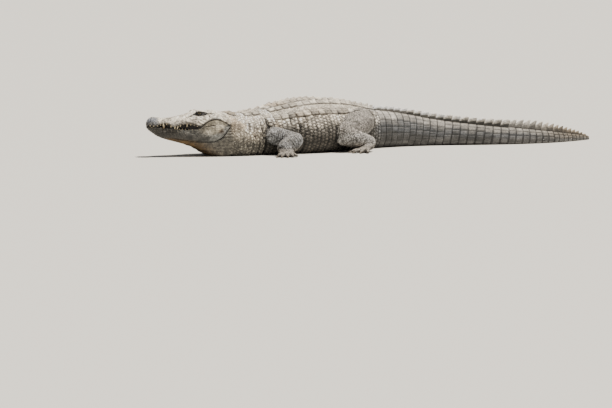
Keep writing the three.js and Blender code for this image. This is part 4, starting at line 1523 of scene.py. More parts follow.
def plate_template(
    columns,
    rows,
    keel_width=0.36,
    profile=ridge,
    corners=6.0,
    fall=0.35,
    tones=(0.8, 1.12),
    dim=0.62,
    open_sides=0.0,
    outline=(0.86, 0.86),
    caps=(0.7, 0.92),
    sharp=0.9,
):
    """A closed rectangular plate with rounded corners and a keel along its middle, made like a bead.
    columns and rows are where its points lie across and along it, from -1 to 1. corners rounds its
    outline, fall drops its sides, and sharp shapes the keel's section. tones and dim colour it from the
    plate to the keel's cap, which caps bounds: painted shade on the keel's flanks and a painted
    highlight on its cap. outline is where its dark rim of painted shade starts, and open_sides says how
    bare its flanks are, with less painted shade on them."""
    ahead, across = np.meshgrid(rows, columns, indexing="ij")
    limit = (np.abs(ahead) ** corners + np.abs(across) ** corners) ** (1 / corners)
    fit = np.where(limit > 1, 1 / np.maximum(limit, 1e-9), 1.0)
    places = np.stack([ahead * fit, across * fit], -1)
    border = np.maximum(np.abs(ahead), np.abs(across)) >= 1
    inner = 1 - 0.35 * step(0.7, 1.0, np.abs(ahead)) - fall * step(0.7, 1.0, np.abs(across))
    levels = np.where(border, -1.0, inner)
    crest = np.maximum(0, 1 - np.abs(across) / keel_width)
    keel = np.where(border, 0, profile(ahead) * crest**sharp)
    # painted shade on the keel's flanks and in the gaps round the plate, and a painted highlight on the
    # keel's cap
    cap = step(*caps, crest)
    lit = np.where(border, 0.0, mix(dim, 0.95, cap))
    tone = np.where(border, 0.6, mix(*tones, cap))
    # a wider dark rim of painted shade
    outer = ~border & ((np.abs(ahead) > outline[0]) | (np.abs(across) > outline[1]))
    lit = np.where(outer, 0.5 * dim, lit)
    tone = np.where(outer, 0.7 * tones[0], tone)
    # painted shade on the open flanks, less of it where open_sides is high
    beside = border & (np.abs(ahead) < 1)
    lit = np.where(beside, 0.62 * open_sides, lit)
    tone = np.where(beside, mix(0.6, tones[0], open_sides), tone)
    count = ahead.size
    index = np.arange(count).reshape(ahead.shape)
    a, b, d, e = index[:-1, :-1], index[:-1, 1:], index[1:, :-1], index[1:, 1:]
    top = np.vstack([np.stack([x.ravel() for x in three], 1) for three in ((a, d, b), (b, d, e))])
    rim = np.concatenate([index[0, :-1], index[:-1, -1], index[-1, :0:-1], index[:0:-1, 0]])
    bottom = np.stack([np.full(len(rim), count), rim, np.roll(rim, -1)], 1)
    return {
        "places": np.vstack([places.reshape(-1, 2), [[0, 0]]]),
        "levels": np.append(levels.ravel(), -1.0),
        "keel": np.append(keel.ravel(), 0.0),
        "lit": np.append(lit.ravel(), 0.0),
        "tone": np.append(tone.ravel(), 0.6),
        "triangles": np.vstack([top, bottom]),
    }


# Beads: sides, where the rings lie, their heights, and how pale the rim and top are. The darker rim is
# painted shade; the paler top is partly dust and partly a painted highlight.
BEAD = bead_template()
GRAIN = bead_template(6, (0.66,), (0.7,), (0.34, 0.78))
SMALL_BEAD = bead_template(7, (0.45, 0.82), (0.94, 0.6))
FINE_BEAD = bead_template(10, (0.4, 0.74, 0.92), (0.97, 0.84, 0.5), (0.45, 2.0))
FILL_BEAD = bead_template(7, (0.45, 0.82), (0.94, 0.6), (0.42, 1.0))
DUSTY_BEAD = bead_template(7, (0.5, 0.85), (0.95, 0.6), (0.7, 1.15))
LEG_BEAD = bead_template(7, (0.5, 0.86), (0.94, 0.62), (0.62, 1.2))
TILE = bead_template(8, (0.6, 0.9), (0.96, 0.7), (0.8, 1.05))


def mirrored(*stops):
    """-1 to 1 by way of the stops, each on both sides of 0."""
    return [-1, *[-x for x in stops], 0, *stops[::-1], 1]


PLATE = plate_template(mirrored(0.87, 0.5, 0.24, 0.1), [-1, -0.87, -0.45, 0, 0.4, 0.7, 0.88, 1])
LOW_PLATE = plate_template(
    mirrored(0.86, 0.4),
    [-1, -0.87, -0.76, 0.3, 0.8, 0.9, 1],
    0.5,
    corners=24.0,
    fall=0.0,
    open_sides=0.8,
    outline=(0.86, 2.0),
)
BLADE_SHAPE = (
    mirrored(0.72, 0.44, 0.2, 0.07),
    [-1, -0.9, -0.74, -0.5, -0.25, 0, 0.25, 0.5, 0.7, 0.84, 0.93, 0.98, 1],
    0.95,
    flap,
)
# Crest scutes: dark faces of painted shade and bright caps of painted highlight
CREST_LOOK = {"dim": 0.34, "outline": (2.0, 2.0), "caps": (0.62, 0.85), "sharp": 1.5}
BLADE = plate_template(*BLADE_SHAPE, tones=(0.34, 4.2), **CREST_LOOK)  # of the double crest
END_BLADE = plate_template(*BLADE_SHAPE, tones=(1.0, 2.6), **CREST_LOOK)  # of the single one behind it
RIM_SINK = 1.6  # how far a scale's edge lies under the skin
FURTHEST_ROOT = 14  # a root further than this from the skin gets no scale
PATCH = 0.003  # size of a scale's own patch on the bake map


def squared_off(places, square):
    """Places over a round scale, spread out to a squarer outline where square is above 2."""
    if square <= 2:
        return places
    reach = np.linalg.norm(places, axis=1, keepdims=True)
    power = (np.abs(places) ** square).sum(1, keepdims=True) ** (1 / square)
    return places * np.where(power > 1e-6, reach / np.maximum(power, 1e-6), 1)


class Coat:
    """Scales of one piece, gathered as arrays and raised over the skin together."""

    def __init__(self, name, skin):
        self.name = name
        self.skin = skin
        self.parts = []
        self.roots = [np.zeros((0, 3))]
        self.reach = [np.zeros(0)]
        self.random = np.random.default_rng(SEED + len(name))

    def add(
        self,
        template,
        roots,
        ahead,
        size,
        height,
        unwrap,
        keel=0.0,
        lean=None,
        square=2.0,
        tilt=0.0,
        swing=0.0,
        vary=0.22,
        slant=0.0,
    ):
        """Sets scales at roots. size is [half length, half width]; unwrap is each root's place on the map.
        keel raises the template's keel, along lean where one is given; square above 2 squares a round
        scale off; tilt lifts one side of each, in mm; swing turns them at random, in radians; vary is how
        much their tones differ; slant leans a scale's upper side back for each mm of height."""
        roots = np.atleast_2d(roots)
        count = len(roots)
        if not count:
            return
        at, normal, gap = self.skin.nearest(roots)
        size = np.broadcast_to(np.asarray(size, float), (count, 2))
        heights = np.broadcast_to(np.asarray(height, float), (count,))
        keel = np.broadcast_to(np.asarray(keel, float), (count,))
        maps = np.broadcast_to(np.asarray(unwrap, float), (count, 2))
        ahead = np.broadcast_to(ahead, (count, 3))
        ahead = unit(ahead - normal * (ahead * normal).sum(1, keepdims=True))
        across = np.cross(normal, ahead)
        turn = self.random.normal(0, 1, (count, 1)) * swing
        ahead, across = (
            ahead * np.cos(turn) + across * np.sin(turn),
            across * np.cos(turn) - ahead * np.sin(turn),
        )
        places = squared_off(template["places"], square)
        spread = places[None] * size[:, None]
        spread[..., 0] += slant * across[:, 2:] * spread[..., 1]
        flat = at[:, None] + spread[..., :1] * ahead[:, None] + spread[..., 1:] * across[:, None]
        shell, shell_normal, _ = self.skin.nearest(flat.reshape(-1, 3))
        shell = shell.reshape(flat.shape)
        out = unit(shell_normal.reshape(flat.shape) + normal[:, None])
        levels = template["levels"]
        tilted = tilt * (0.5 + 0.5 * np.sign(tilt) * places[:, 1])
        rise = np.where(levels < 0, -RIM_SINK, levels * heights[:, None] + np.abs(tilted))
        top = out if lean is None else np.broadcast_to(np.atleast_2d(lean)[:, None], out.shape)
        made = shell + out * rise[..., None] + top * (template["keel"] * keel[:, None])[..., None]
        made[..., 2] = np.maximum(made[..., 2], 0)
        tone = (1 + vary * self.random.standard_normal(count)).clip(0.65, 1.4)
        shift = np.abs(shell - flat).max((1, 2))
        kept = (gap < FURTHEST_ROOT) & (shift < 0.9 * size.max(1) + 3)
        self.roots.append(at[kept])
        self.reach.append(size[kept].mean(1))
        self.parts.append(
            {
                "points": made[kept],
                "triangles": template["triangles"],
                "tone": (tone[:, None] * template["tone"])[kept],
                "lit": np.broadcast_to(template["lit"], (count, len(levels)))[kept],
                "map": maps[kept],
                "spread": template["places"],
            }
        )

    def build(self, material):
        """Adds all the scales as one mesh, with a small patch of the bake map for each."""
        triangles, maps, spreads = [], [], []
        start = 0
        for part in self.parts:
            count, size = part["points"].shape[:2]
            offsets = start + size * np.arange(count)
            triangles.append((part["triangles"][None] + offsets[:, None, None]).reshape(-1, 3))
            maps.append(np.repeat(part["map"], size, 0))
            spreads.append(np.tile(part["spread"], (count, 1)))
            start += count * size
        points = np.vstack([part["points"].reshape(-1, 3) for part in self.parts])
        tone, lit = [np.concatenate([part[key].ravel() for part in self.parts]) for key in ("tone", "lit")]
        triangles = np.vstack(triangles)
        mesh = triangle_mesh(self.name, points, triangles)
        set_colours(mesh, tints(points) * tone[:, None], lit)
        roots = np.vstack(maps)
        low, high = roots.min(0), roots.max(0)
        flat = 0.01 + 0.98 * (roots - low) / np.maximum(high - low, 1e-9) + np.vstack(spreads) * PATCH / 2
        layer = mesh.uv_layers.new(name="OFBake")
        layer.uv.foreach_set("vector", flat[triangles.ravel()].astype(np.float32).ravel())
        add_object(self.name, mesh, material)


def spine_ahead(s):
    """Unit vector towards the tail at s."""
    turn = heading(np.asarray(s, float))
    return np.stack([np.cos(turn), np.sin(turn), np.zeros_like(turn)], -1)


def unwrap_place(s, side, share):
    """A root's place on the body's unwrap: along it, and round it from the middle of the belly."""
    return np.stack(np.broadcast_arrays(s / BODY_LENGTH, 0.5 + 0.5 * side * share), -1)


def clear_of_limbs(roots, gap=5.0):
    """Whether each root lies more than gap outside the limbs."""
    return limb_distance(roots)[0] > gap


def off_face(s, z):
    """Whether a place lies off the smooth cheek, which the jaw's edge and the crease enclose."""
    edge, crease = curve(JAW_EDGE, s)[:, 0], curve(GAPE, s)[:, 0]
    return (s > JAW_EDGE[-1][0]) | (z < edge - 6) | (z > crease + 10)


def scale_rows(coat, template, stations, length, width, spans, height, jitter=0.0, sizes=(1.0, 1.0), **look):
    """Rows of scales across the body, each scale length by width, every other row staggered where there
    is jitter. spans gives the first and last share round the section at s; sizes is the range of their
    scale. They are smaller towards the head."""
    for k, s in enumerate(stations):
        first, last = spans(s)
        around = section_length(s) * (last - first)
        count = max(1, int(round(around / width)))
        stagger = (0.25 if k % 2 else -0.25) * (jitter > 0)
        shares = first + (last - first) * (np.arange(count) + 0.5 + stagger) / count
        for side in (-1, 1):
            wander = coat.random.normal(0, jitter, (count, 2)) if jitter else np.zeros((count, 2))
            at_s = s + wander[:, 0] * length
            places = on_section(s, (shares + wander[:, 1] * (last - first) / count).clip(0, 1))
            roots = place(at_s, side * places[:, 0], places[:, 1])
            kept = clear_of_limbs(roots) & off_face(at_s, places[:, 1])
            growth = mix(0.55, 1.0, step(HEAD_END, HEAD_END + 90, s))
            size = growth * np.array([length, around / count]) / 2 * coat.random.uniform(*sizes, (count, 1))
            maps = unwrap_place(at_s, side, shares)
            coat.add(template, roots[kept], spine_ahead(at_s)[kept], size[kept], height, maps[kept], **look)


def row_edges(name):
    """Front, rear and keel height of each crosswise row of one length of the body."""
    first, last, keels = LENGTHS[name]
    edges = np.linspace(first, last, len(keels) + 1)
    return list(zip(edges[:-1], edges[1:], keels))


NAPE_END = 740
# The lines of plates and the fine scales between the second and third, as shares of the half width
PLATE_BANDS = [(0.0, 0.255), (0.255, 0.52), (0.67, 0.83)]
SHOULDER_BAND = (0.51, 0.68)
PLATE_EDGES = (0.56, 0.84)  # where the outermost plates end, on the nape and behind it
PLATE_THICKNESS = 3.4
PLATE_OVERLAP = (1.09, 1.06)  # along and across
LOWEST_KEEL = 5  # rows with lower keels have no plates
KEEL_GAIN = 1.2  # the keels' height against the solids', where the thickness of the skin is lost
LEDGE = 5.5  # how far the outermost plates' lower edges stand out


def back_plates(skin, hide):
    """Keeled plates of the nape and back, in crosswise rows of four on the nape and six behind it."""
    coat = Coat("scutes_back", skin)
    for front, rear, keel in row_edges("neck") + row_edges("back"):
        if keel < LOWEST_KEEL:
            continue
        middle = (front + rear) / 2
        for line, band_at in enumerate(PLATE_BANDS if middle > NAPE_END else PLATE_BANDS[:2]):
            inner, outer = share_at_width(middle, band_at)
            share = (inner + outer) / 2
            v, z = on_section(middle, [share])[0]
            half_width = (outer - inner) * section_length(middle) / 2 * PLATE_OVERLAP[1]
            for side in (-1, 1):
                stray = coat.random.normal(0, 0.02, 3)
                root = place(middle + stray[0] * 60, side * v, z)
                size = [(rear - front) / 2 * (PLATE_OVERLAP[0] + stray[1]), half_width * (1 - abs(stray[2]))]
                height = KEEL_GAIN * keel * coat.random.uniform(0.7, 1.15) * (0.85 if line == 2 else 1.0)
                maps = unwrap_place(middle, side, share)
                tilt = side * LEDGE * coat.random.uniform(0.4, 1.2) * (1.0 if line else 0.3)
                look = {"keel": height, "tilt": tilt, "swing": 0.03}
                coat.add(PLATE, root, spine_ahead(middle), size, PLATE_THICKNESS, maps, **look)
    coat.build(hide)


def plate_edge(s):
    """Where the outermost plates end, as a share round the section."""
    return float(share_at_width(s, [PLATE_EDGES[int(s > NAPE_END)]])[0])


BELLY_EDGE = 0.8  # where the belly's tiles start, as a share round the section
NECK_ROWS = (506, 716)  # first and last s
SHOULDER_ROWS = (752, HIP_S + 60)
FLANK_ROWS = (724, 1600)
BELLY_ROWS = (NECK_ROWS[0], FLANK_ROWS[1])
NAPE_ROWS = [507, 521.5, 552, 566, 580, 592, 706, 720, 734, 748]  # between and round the nape's plates


def trunk_scales(skin, hide):
    """Ovals of the neck and flanks, and tiles of the belly. Gives their roots and radii."""
    coat = Coat("scales_trunk", skin)

    def flank(s):
        return plate_edge(s), BELLY_EDGE

    def nape(s):
        return 0.0, plate_edge(s)

    def shoulder(s):
        return tuple(share_at_width(s, SHOULDER_BAND))

    def belly(s):
        return BELLY_EDGE, 1.0

    # Template, stations, length, width, spans, height, jitter, sizes, swing and squareness. Each span
    # gives the first and last share round the section at s.
    for *rows, swing, square in [
        (FINE_BEAD, np.arange(*NECK_ROWS, 17.5), 15.5, 17, flank, 2.6, 0.2, (0.6, 1.1), 0.3, 2.6),
        (FINE_BEAD, NAPE_ROWS, 13.0, 15, nape, 2.6, 0.08, (0.7, 1.05), 0.3, 2.6),
        (DUSTY_BEAD, np.arange(*SHOULDER_ROWS, 11.5), 11.5, 10.5, shoulder, 1.6, 0.12, (0.7, 1.1), 0.4, 2.6),
        (FINE_BEAD, np.arange(*FLANK_ROWS, 27.0), 24.5, 19.5, flank, 3.0, 0.06, (0.7, 1.02), 0.3, 2.6),
        (TILE, np.arange(*BELLY_ROWS, 25.0), 24.3, 24, belly, 1.2, 0.0, (0.97, 0.97), 0.0, 6.0),
    ]:
        scale_rows(coat, *rows, swing=swing, square=square)
    coat.build(hide)
    return np.vstack(coat.roots), np.concatenate(coat.reach)


# Small scales between the larger ones: template, least and greatest radius, and how many are tried
FILLERS = [(FILL_BEAD, (3.4, 5.6), 9000), (GRAIN, (2.1, 3.0), 30000)]
STATION_STEP = 10.0


def grains(name, skin, hide, side, taken, reach):
    """Small beads and finer grains that fill the spaces between the larger scales of one side.
    taken and reach are the larger scales' roots and radii."""
    coat = Coat(name, skin)
    for template, radius, tries in FILLERS:
        s = coat.random.uniform(NECK_ROWS[0], FLANK_ROWS[1], tries)
        share = coat.random.uniform(0, 1, tries)
        radii = coat.random.uniform(*radius, tries)
        s, share, radii = [x[np.argsort(-radii)] for x in (s, share, radii)]
        roots = np.zeros((tries, 3))
        for station in np.arange(NECK_ROWS[0], FLANK_ROWS[1] + STATION_STEP, STATION_STEP):
            near = np.abs(s - station) <= STATION_STEP / 2
            first = plate_edge(station) - 0.05 if station > NAPE_END else 0.1
            share[near] = mix(first, BELLY_EDGE + 0.04, share[near])
            spots = on_section(station, share[near])
            roots[near] = place(s[near], side * spots[:, 0], spots[:, 1])
        tree = KDTree(len(taken))
        for k, root in enumerate(taken):
            tree.insert(root, k)
        tree.balance()
        nearest, gaps = np.array([tree.find(root)[1:] for root in roots]).T
        free = gaps > 0.8 * reach[nearest.astype(int)] + 0.75 * radii
        free &= clear_of_limbs(roots, 2.0)
        roots, radii, s, share = [x[free] for x in (roots, radii, s, share)]
        kept = thinned(roots, radii)
        roots, radii, s, share = [x[kept] for x in (roots, radii, s, share)]
        size = np.column_stack([radii * 1.08, radii])
        maps = unwrap_place(s, side, share)
        coat.add(template, roots, spine_ahead(s), size, radii * 0.42, maps, square=2.5, swing=0.5)
        taken, reach = np.vstack([taken, roots]), np.concatenate([reach, radii])
    coat.build(hide)


# Tiles in each whorl, from the crest to the middle of the underside
TAIL_FILES = {"tail_1": 9, "tail_2": 8, "tail_3": 7, "tail_4": 6, "tail_5": 5, "tail_6": 4}
TAIL_LEAN = 0.16  # how far a whorl's joint leans back for each mm of height
TILE_SIZE = (0.94, 1.13)  # of a tile against its share of the whorl, along and round
BLADE_FOOT = 9  # half the width of a crest scute's foot
NARROWEST_VALLEY = 14  # half the gap between the crest's lines that still has tiles


def crest_share(s):
    """Where the tail's double crest runs, as a share of the half width; 0 where it is single."""
    along = (s - TWIN_CREST["first"]) / (TWIN_CREST["last"] - TWIN_CREST["first"])
    return mix(TWIN_CREST["from"], TWIN_CREST["to"], along) if along < 1 else 0.0


def tail_scales(skin, hide):
    """The tail's whorls: squarish tiles in files round the sides, and flaps along the crest."""
    coat = Coat("scales_tail", skin)
    for name, files in TAIL_FILES.items():
        for front, rear, keel in row_edges(name):
            middle, pitch = (front + rear) / 2, rear - front
            half = curve(BODY, middle)[0, 0]
            crest = crest_share(middle)
            foot = min(BLADE_FOOT / half, 0.4)
            start = float(share_at_width(middle, [min(crest + foot, 0.9)])[0])
            shares = start + (1 - start) * (np.arange(files) + 0.5) / files
            length = section_length(middle)
            places = on_section(middle, shares)
            slant = TAIL_LEAN * between(1600, 2000, 2600, 2950, middle)
            at_s = middle + slant * (places[:, 1] - 60)
            half_width = (1 - start) * length / files / 2 * TILE_SIZE[1]
            size = np.column_stack([np.full(files, pitch / 2 * TILE_SIZE[0]), np.full(files, half_width)])
            keels = np.where(np.arange(files) == 1, min(4.0, keel * 0.15), 0.5)
            for side in (-1, 1):
                roots = place(at_s, side * places[:, 0], places[:, 1])
                kept = clear_of_limbs(roots)
                maps, ahead = unwrap_place(at_s, side, shares), spine_ahead(at_s)
                look = {"keel": keels[kept], "vary": 0.12, "slant": slant}
                coat.add(LOW_PLATE, roots[kept], ahead[kept], size[kept], 2.8, maps[kept], **look)
                if crest:
                    add_blade(coat, middle, pitch, side, crest, foot, keel, half)
            if crest * half > NARROWEST_VALLEY:
                add_valley(coat, middle, pitch, crest - foot, length)
            if not crest:
                add_blade(coat, middle, pitch, 0, 0.0, foot, keel, half)
    coat.build(hide)


def add_valley(coat, middle, pitch, edge, length):
    """Tiles between the two lines of the double crest, which start at edge."""
    inner = float(share_at_width(middle, [edge])[0])
    count = 2 if inner * length > 40 else 1
    shares = inner * (np.arange(count) + 0.5) / count
    spots = on_section(middle, shares)
    size = [pitch / 2 * 0.95, inner * length / count / 2 * 0.97]
    for side in (-1, 1):
        roots = place(middle, side * spots[:, 0], spots[:, 1])
        maps = unwrap_place(middle, side, shares)
        coat.add(LOW_PLATE, roots, spine_ahead(middle), size, 2.4, maps, keel=1.2)


BLADE_LEAN = 0.42  # how far a crest scute leans back for each mm of height
BLADE_OVERLAP = 1.26  # of its length against its whorl's


def add_blade(coat, middle, pitch, side, crest, foot, keel, half):
    """One upright scute of the tail's crest; side is 0 where the crest is single."""
    share = float(share_at_width(middle, [crest])[0])
    v, z = on_section(middle, [share])[0]
    turn = heading(np.array(middle))
    out = side * np.array([-np.sin(turn), np.cos(turn), 0])
    lean = unit(np.array([0, 0, 1.0]) + TWIN_CREST["flare"] * out + BLADE_LEAN * spine_ahead(middle))
    size = [pitch / 2 * BLADE_OVERLAP, foot * half]
    maps = unwrap_place(middle, side, share)
    height = (keel + COAT_DEPTH) / max(lean[2], 0.5)
    blade = BLADE if side else END_BLADE
    coat.add(blade, place(middle, side * v, z), spine_ahead(middle), size, 2.0, maps, keel=height, lean=lean)


def head_scales(skin, hide):
    """Small scales behind the skull and the smooth cheeks."""
    coat = Coat("scales_head", skin)
    rows = np.arange(462, HEAD_END + 14, 7.5)
    scale_rows(coat, SMALL_BEAD, rows, 13.5, 8.0, lambda s: (0.06, 1.0), 1.1, 0.1, swing=0.3, square=3.0)
    coat.build(hide)


def thinned(roots, sizes):
    """Leaves out roots that crowd an earlier one."""
    kept, grid = [], {}
    reach = float(np.max(sizes)) * 2
    cells_at = np.floor(roots / reach).astype(int)
    for i, (root, cell) in enumerate(zip(roots, cells_at)):
        near = [j for o in np.ndindex(3, 3, 3) for j in grid.get(tuple(cell + np.array(o) - 1), ())]
        if all(np.linalg.norm(roots[j] - root) > 0.8 * (sizes[i] + sizes[j]) for j in near):
            kept.append(i)
            grid.setdefault(tuple(cell), []).append(i)
    return np.array(kept, int)


def limb_roots(skin, points, radii, pitch):
    """Staggered roots in rings round a limb, where a ray from its middle meets its skin.
    Gives the roots, which way is ahead at each, and their places on the map."""
    axes = (points, *frames_along(points))
    length = arc(points)
    first, last = -0.97 * radii[0], length[-1] + 0.97 * radii[-1]
    found = []
    for k, at in enumerate(np.arange(first, last, pitch * 0.9)):
        inside = np.clip(at, 0, length[-1])
        centre, forward, right, up = [
            np.array([np.interp(inside, length, axis[:, j]) for j in range(3)]) for axis in axes
        ]
        radius = np.interp(inside, length, radii)
        tilt = (at - inside) / radius
        flat = np.sqrt(max(0.05, 1 - tilt * tilt))
        count = max(5, int(round(2 * np.pi * radius * flat / pitch)))
        for i in range(count):
            turn = 2 * np.pi * (i + 0.5 * (k % 2)) / count
            direction = right * np.cos(turn) + up * np.sin(turn)
            if tilt:
                direction = unit(direction * flat + forward * tilt)
            spot, _, _, gap = skin.tree.ray_cast(Vector(centre), Vector(direction), radius * 1.7)
            if spot and 0.55 * radius < gap < 1.6 * radius and spot[2] >= 3:
                found.append([*spot, *forward, (at - first) / (last - first), turn / (2 * np.pi) % 1])
    return np.split(np.array(found), [3, 6], axis=1)


def palm_roots(skin, parts, pitch):
    """Roots on the upper face of a hand or foot, in staggered rows across it, given like a limb's."""
    found = []
    span = np.linalg.norm(parts["knuckles"] - parts["wrist"])
    rows = int(span * 1.15 / (pitch * 0.9))
    for k in range(rows):
        along = -0.1 + 1.2 * (k + 0.5) / rows
        half = mix(*parts["limb"]["half"], min(along, 1)) * 0.98
        count = int(2 * half / pitch)
        for i in range(count):
            across = -1 + 2 * (i + 0.25 + 0.5 * (k % 2)) / count
            above = mix(parts["wrist"], parts["knuckles"], along) + parts["across"] * half * across
            spot, normal, _, _ = skin.tree.ray_cast(Vector([*above[:2], 120]), Vector((0, 0, -1)), 117)
            if spot and normal[2] >= 0.2:
                found.append([*spot, *parts["axis"], along * 0.8 + 0.1, 0.5 + across * 0.45])
    return np.split(np.array(found), [3, 6], axis=1)


LEG_PITCHES = [(10.5, 10, 8)] * 2 + [(11.5, 10.5, 8.5)] * 2  # between scales down each leg


def limb_scales(name, skin, hide, parts, pitches):
    """Scales of one leg: larger on the upper parts, small on the foot, and bands over the toes."""
    coat = Coat(name, skin)
    rows = []
    for order, (part, pitch) in enumerate(zip(("upper", "lower", None), pitches)):
        found = limb_roots(skin, *parts[part], pitch) if part else palm_roots(skin, parts, pitch)
        maps = np.column_stack([(order + found[2][:, 0]) / 4, found[2][:, 1] / 2])
        rows.append(np.column_stack([*found[:2], maps, np.full(len(maps), pitch)]))
    roots, ahead, maps, pitch = np.split(np.vstack(rows), [3, 6, 8], axis=1)
    s, v = locate(roots)
    outside = body_distance(s, v, roots[:, 2])[0] > -2
    roots, ahead, maps, pitch = [x[outside] for x in (roots, ahead, maps, pitch)]
    roots = roots + coat.random.normal(0, 0.09, roots.shape) * pitch
    kept = thinned(roots, pitch[:, 0] * 0.4)
    roots, ahead, maps, pitch = [x[kept] for x in (roots, ahead, maps, pitch)]
    size = pitch * [0.62, 0.55] * coat.random.uniform(0.78, 1.08, (len(roots), 1))
    coat.add(LEG_BEAD, roots, ahead, size, pitch[:, 0] * 0.13, maps, square=3.0, swing=0.4, vary=0.26)
    for order, toe in enumerate(parts["toes"]):
        add_toe_bands(coat, toe, order)
    coat.build(hide)


TOE_BANDS = 9
WIDE_BANDS = 3  # of them have three scales across, and the rest two


def add_toe_bands(coat, toe, order):
    """Overlapping bands over a toe, from its root to its tip."""
    points, radii = toe_line(toe, 25)
    across = np.cross([0, 0, 1], toe["ahead"])
    length = np.linalg.norm(toe["joints"][-1] - toe["joints"][0]) / TOE_BANDS
    for k in range(TOE_BANDS):
        at = (k + 0.7) / TOE_BANDS * (len(points) - 1)
        low = int(at)
        high = min(low + 1, len(points) - 1)
        centre, radius = mix(points[low], points[high], at - low), mix(radii[low], radii[high], at - low)
        sides, width = ((-0.62, 0.0, 0.62), 0.42) if k < WIDE_BANDS else ((-0.45, 0.45), 0.6)
        for side in sides:
            root = centre + across * radius * side * TOE_WIDE + [0, 0, radius * np.sqrt(1 - side * side)]
            maps = [0.8 + 0.18 * k / TOE_BANDS, (order + 0.5 + 0.3 * side) / 10]
            coat.add(BEAD, root, toe["ahead"], [length * 0.56, radius * width], 1.5, maps, square=4.0)


# ---------------------------------------------------------------- eyes, teeth and claws
def lathe(points_of, rows, sides):
    """Points and triangles of a closed surface of rings, pinched at both ends."""
    rings = np.array([points_of(k) for k in range(rows)])
    ends = np.array([rings[0].mean(0), rings[-1].mean(0)])
    points = np.vstack([ends[:1], rings.reshape(-1, 3), ends[1:]])
    triangles = [fan(sides, 1, 0, turned=True)]
    triangles += [band(sides, 1 + sides * (k + 1), 1 + sides * k) for k in range(rows - 1)]
    triangles.append(fan(sides, 1 + sides * (rows - 1), len(points) - 1))
    return points, np.vstack(triangles)


def outward(points, triangles):
    """Turns a closed surface's triangles so that they face out."""
    a, b, c = (points[triangles[:, k]] for k in range(3))
    volume = np.einsum("ij,ij->i", np.cross(a, b), c).sum()
    return triangles if volume > 0 else triangles[:, ::-1]


EYE_INSET = 0.2  # how far an eyeball lies inside its solid
SLIT = (0.085, 0.5)  # half width and half height of the pupil, as shares of the eyeball's radius


def add_eyes(material):
    """Eyeballs, with the angle from the gaze and the distance across the pupil for their material."""
    rows, sides = 40, 64
    tilt = np.linspace(0, np.pi, rows + 2)[1:-1]
    turn = np.linspace(0, 2 * np.pi, sides, endpoint=False)
    for side, name in ((-1, "left"), (1, "right")):
        centre, gaze, across, rise = gaze_axes(side)
        radius = EYE["radius"] - EYE_INSET

        def ring(k):
            flat = np.outer(np.cos(turn), across) + np.outer(np.sin(turn), rise)
            return centre + radius * (np.cos(tilt[k]) * gaze + np.sin(tilt[k]) * flat)

        points, triangles = lathe(ring, rows, sides)
        mesh = triangle_mesh(f"eyeball_{name}", points, outward(points, triangles))
        direction = (points - centre) / radius
        length, height = direction @ across, direction @ rise
        slit_width = SLIT[0] * np.sqrt(np.maximum(1 - (height / SLIT[1]) ** 2, 0.01))
        set_values(mesh, "gaze", np.arccos((direction @ gaze).clip(-1, 1)))
        set_values(mesh, "slit", np.abs(length) / slit_width)
        ob = add_object(f"eyeball_{name}", mesh, material)
        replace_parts(ob, f"eye_{name}")


def cone(base, tip, radius, bend, sides=12, rows=9):
    """A curved, pointed cone from base to tip; bend is how far its middle swings, as a vector."""
    axis = unit(tip - base)
    across = unit(np.cross(axis, [0.3, 0.1, 1.0] if abs(axis[2]) < 0.9 else [1.0, 0, 0]))
    rise = np.cross(axis, across)
    turn = np.linspace(0, 2 * np.pi, sides, endpoint=False)
    shares = np.linspace(0, 1, rows) ** 0.9

    def ring(k):
        t = shares[k]
        centre = mix(base, tip, t) + bend * 4 * t * (1 - t)
        size = radius * (1 - t**2.4) ** 0.8 + 0.25
        return centre + size * (np.outer(np.cos(turn), across) + np.outer(np.sin(turn), rise))

    points, triangles = lathe(ring, rows, sides)
    lit = np.concatenate([[0], np.repeat(shares, sides), [1]])
    return points, outward(points, triangles), lit


def joined(parts):
    """Several surfaces as one: points, triangles and how exposed each point is."""
    start, points, triangles, lit = 0, [], [], []
    for p, t, e in parts:
        points.append(p)
        triangles.append(t + start)
        lit.append(e)
        start += len(p)
    return np.vstack(points), np.vstack(triangles), np.concatenate(lit)


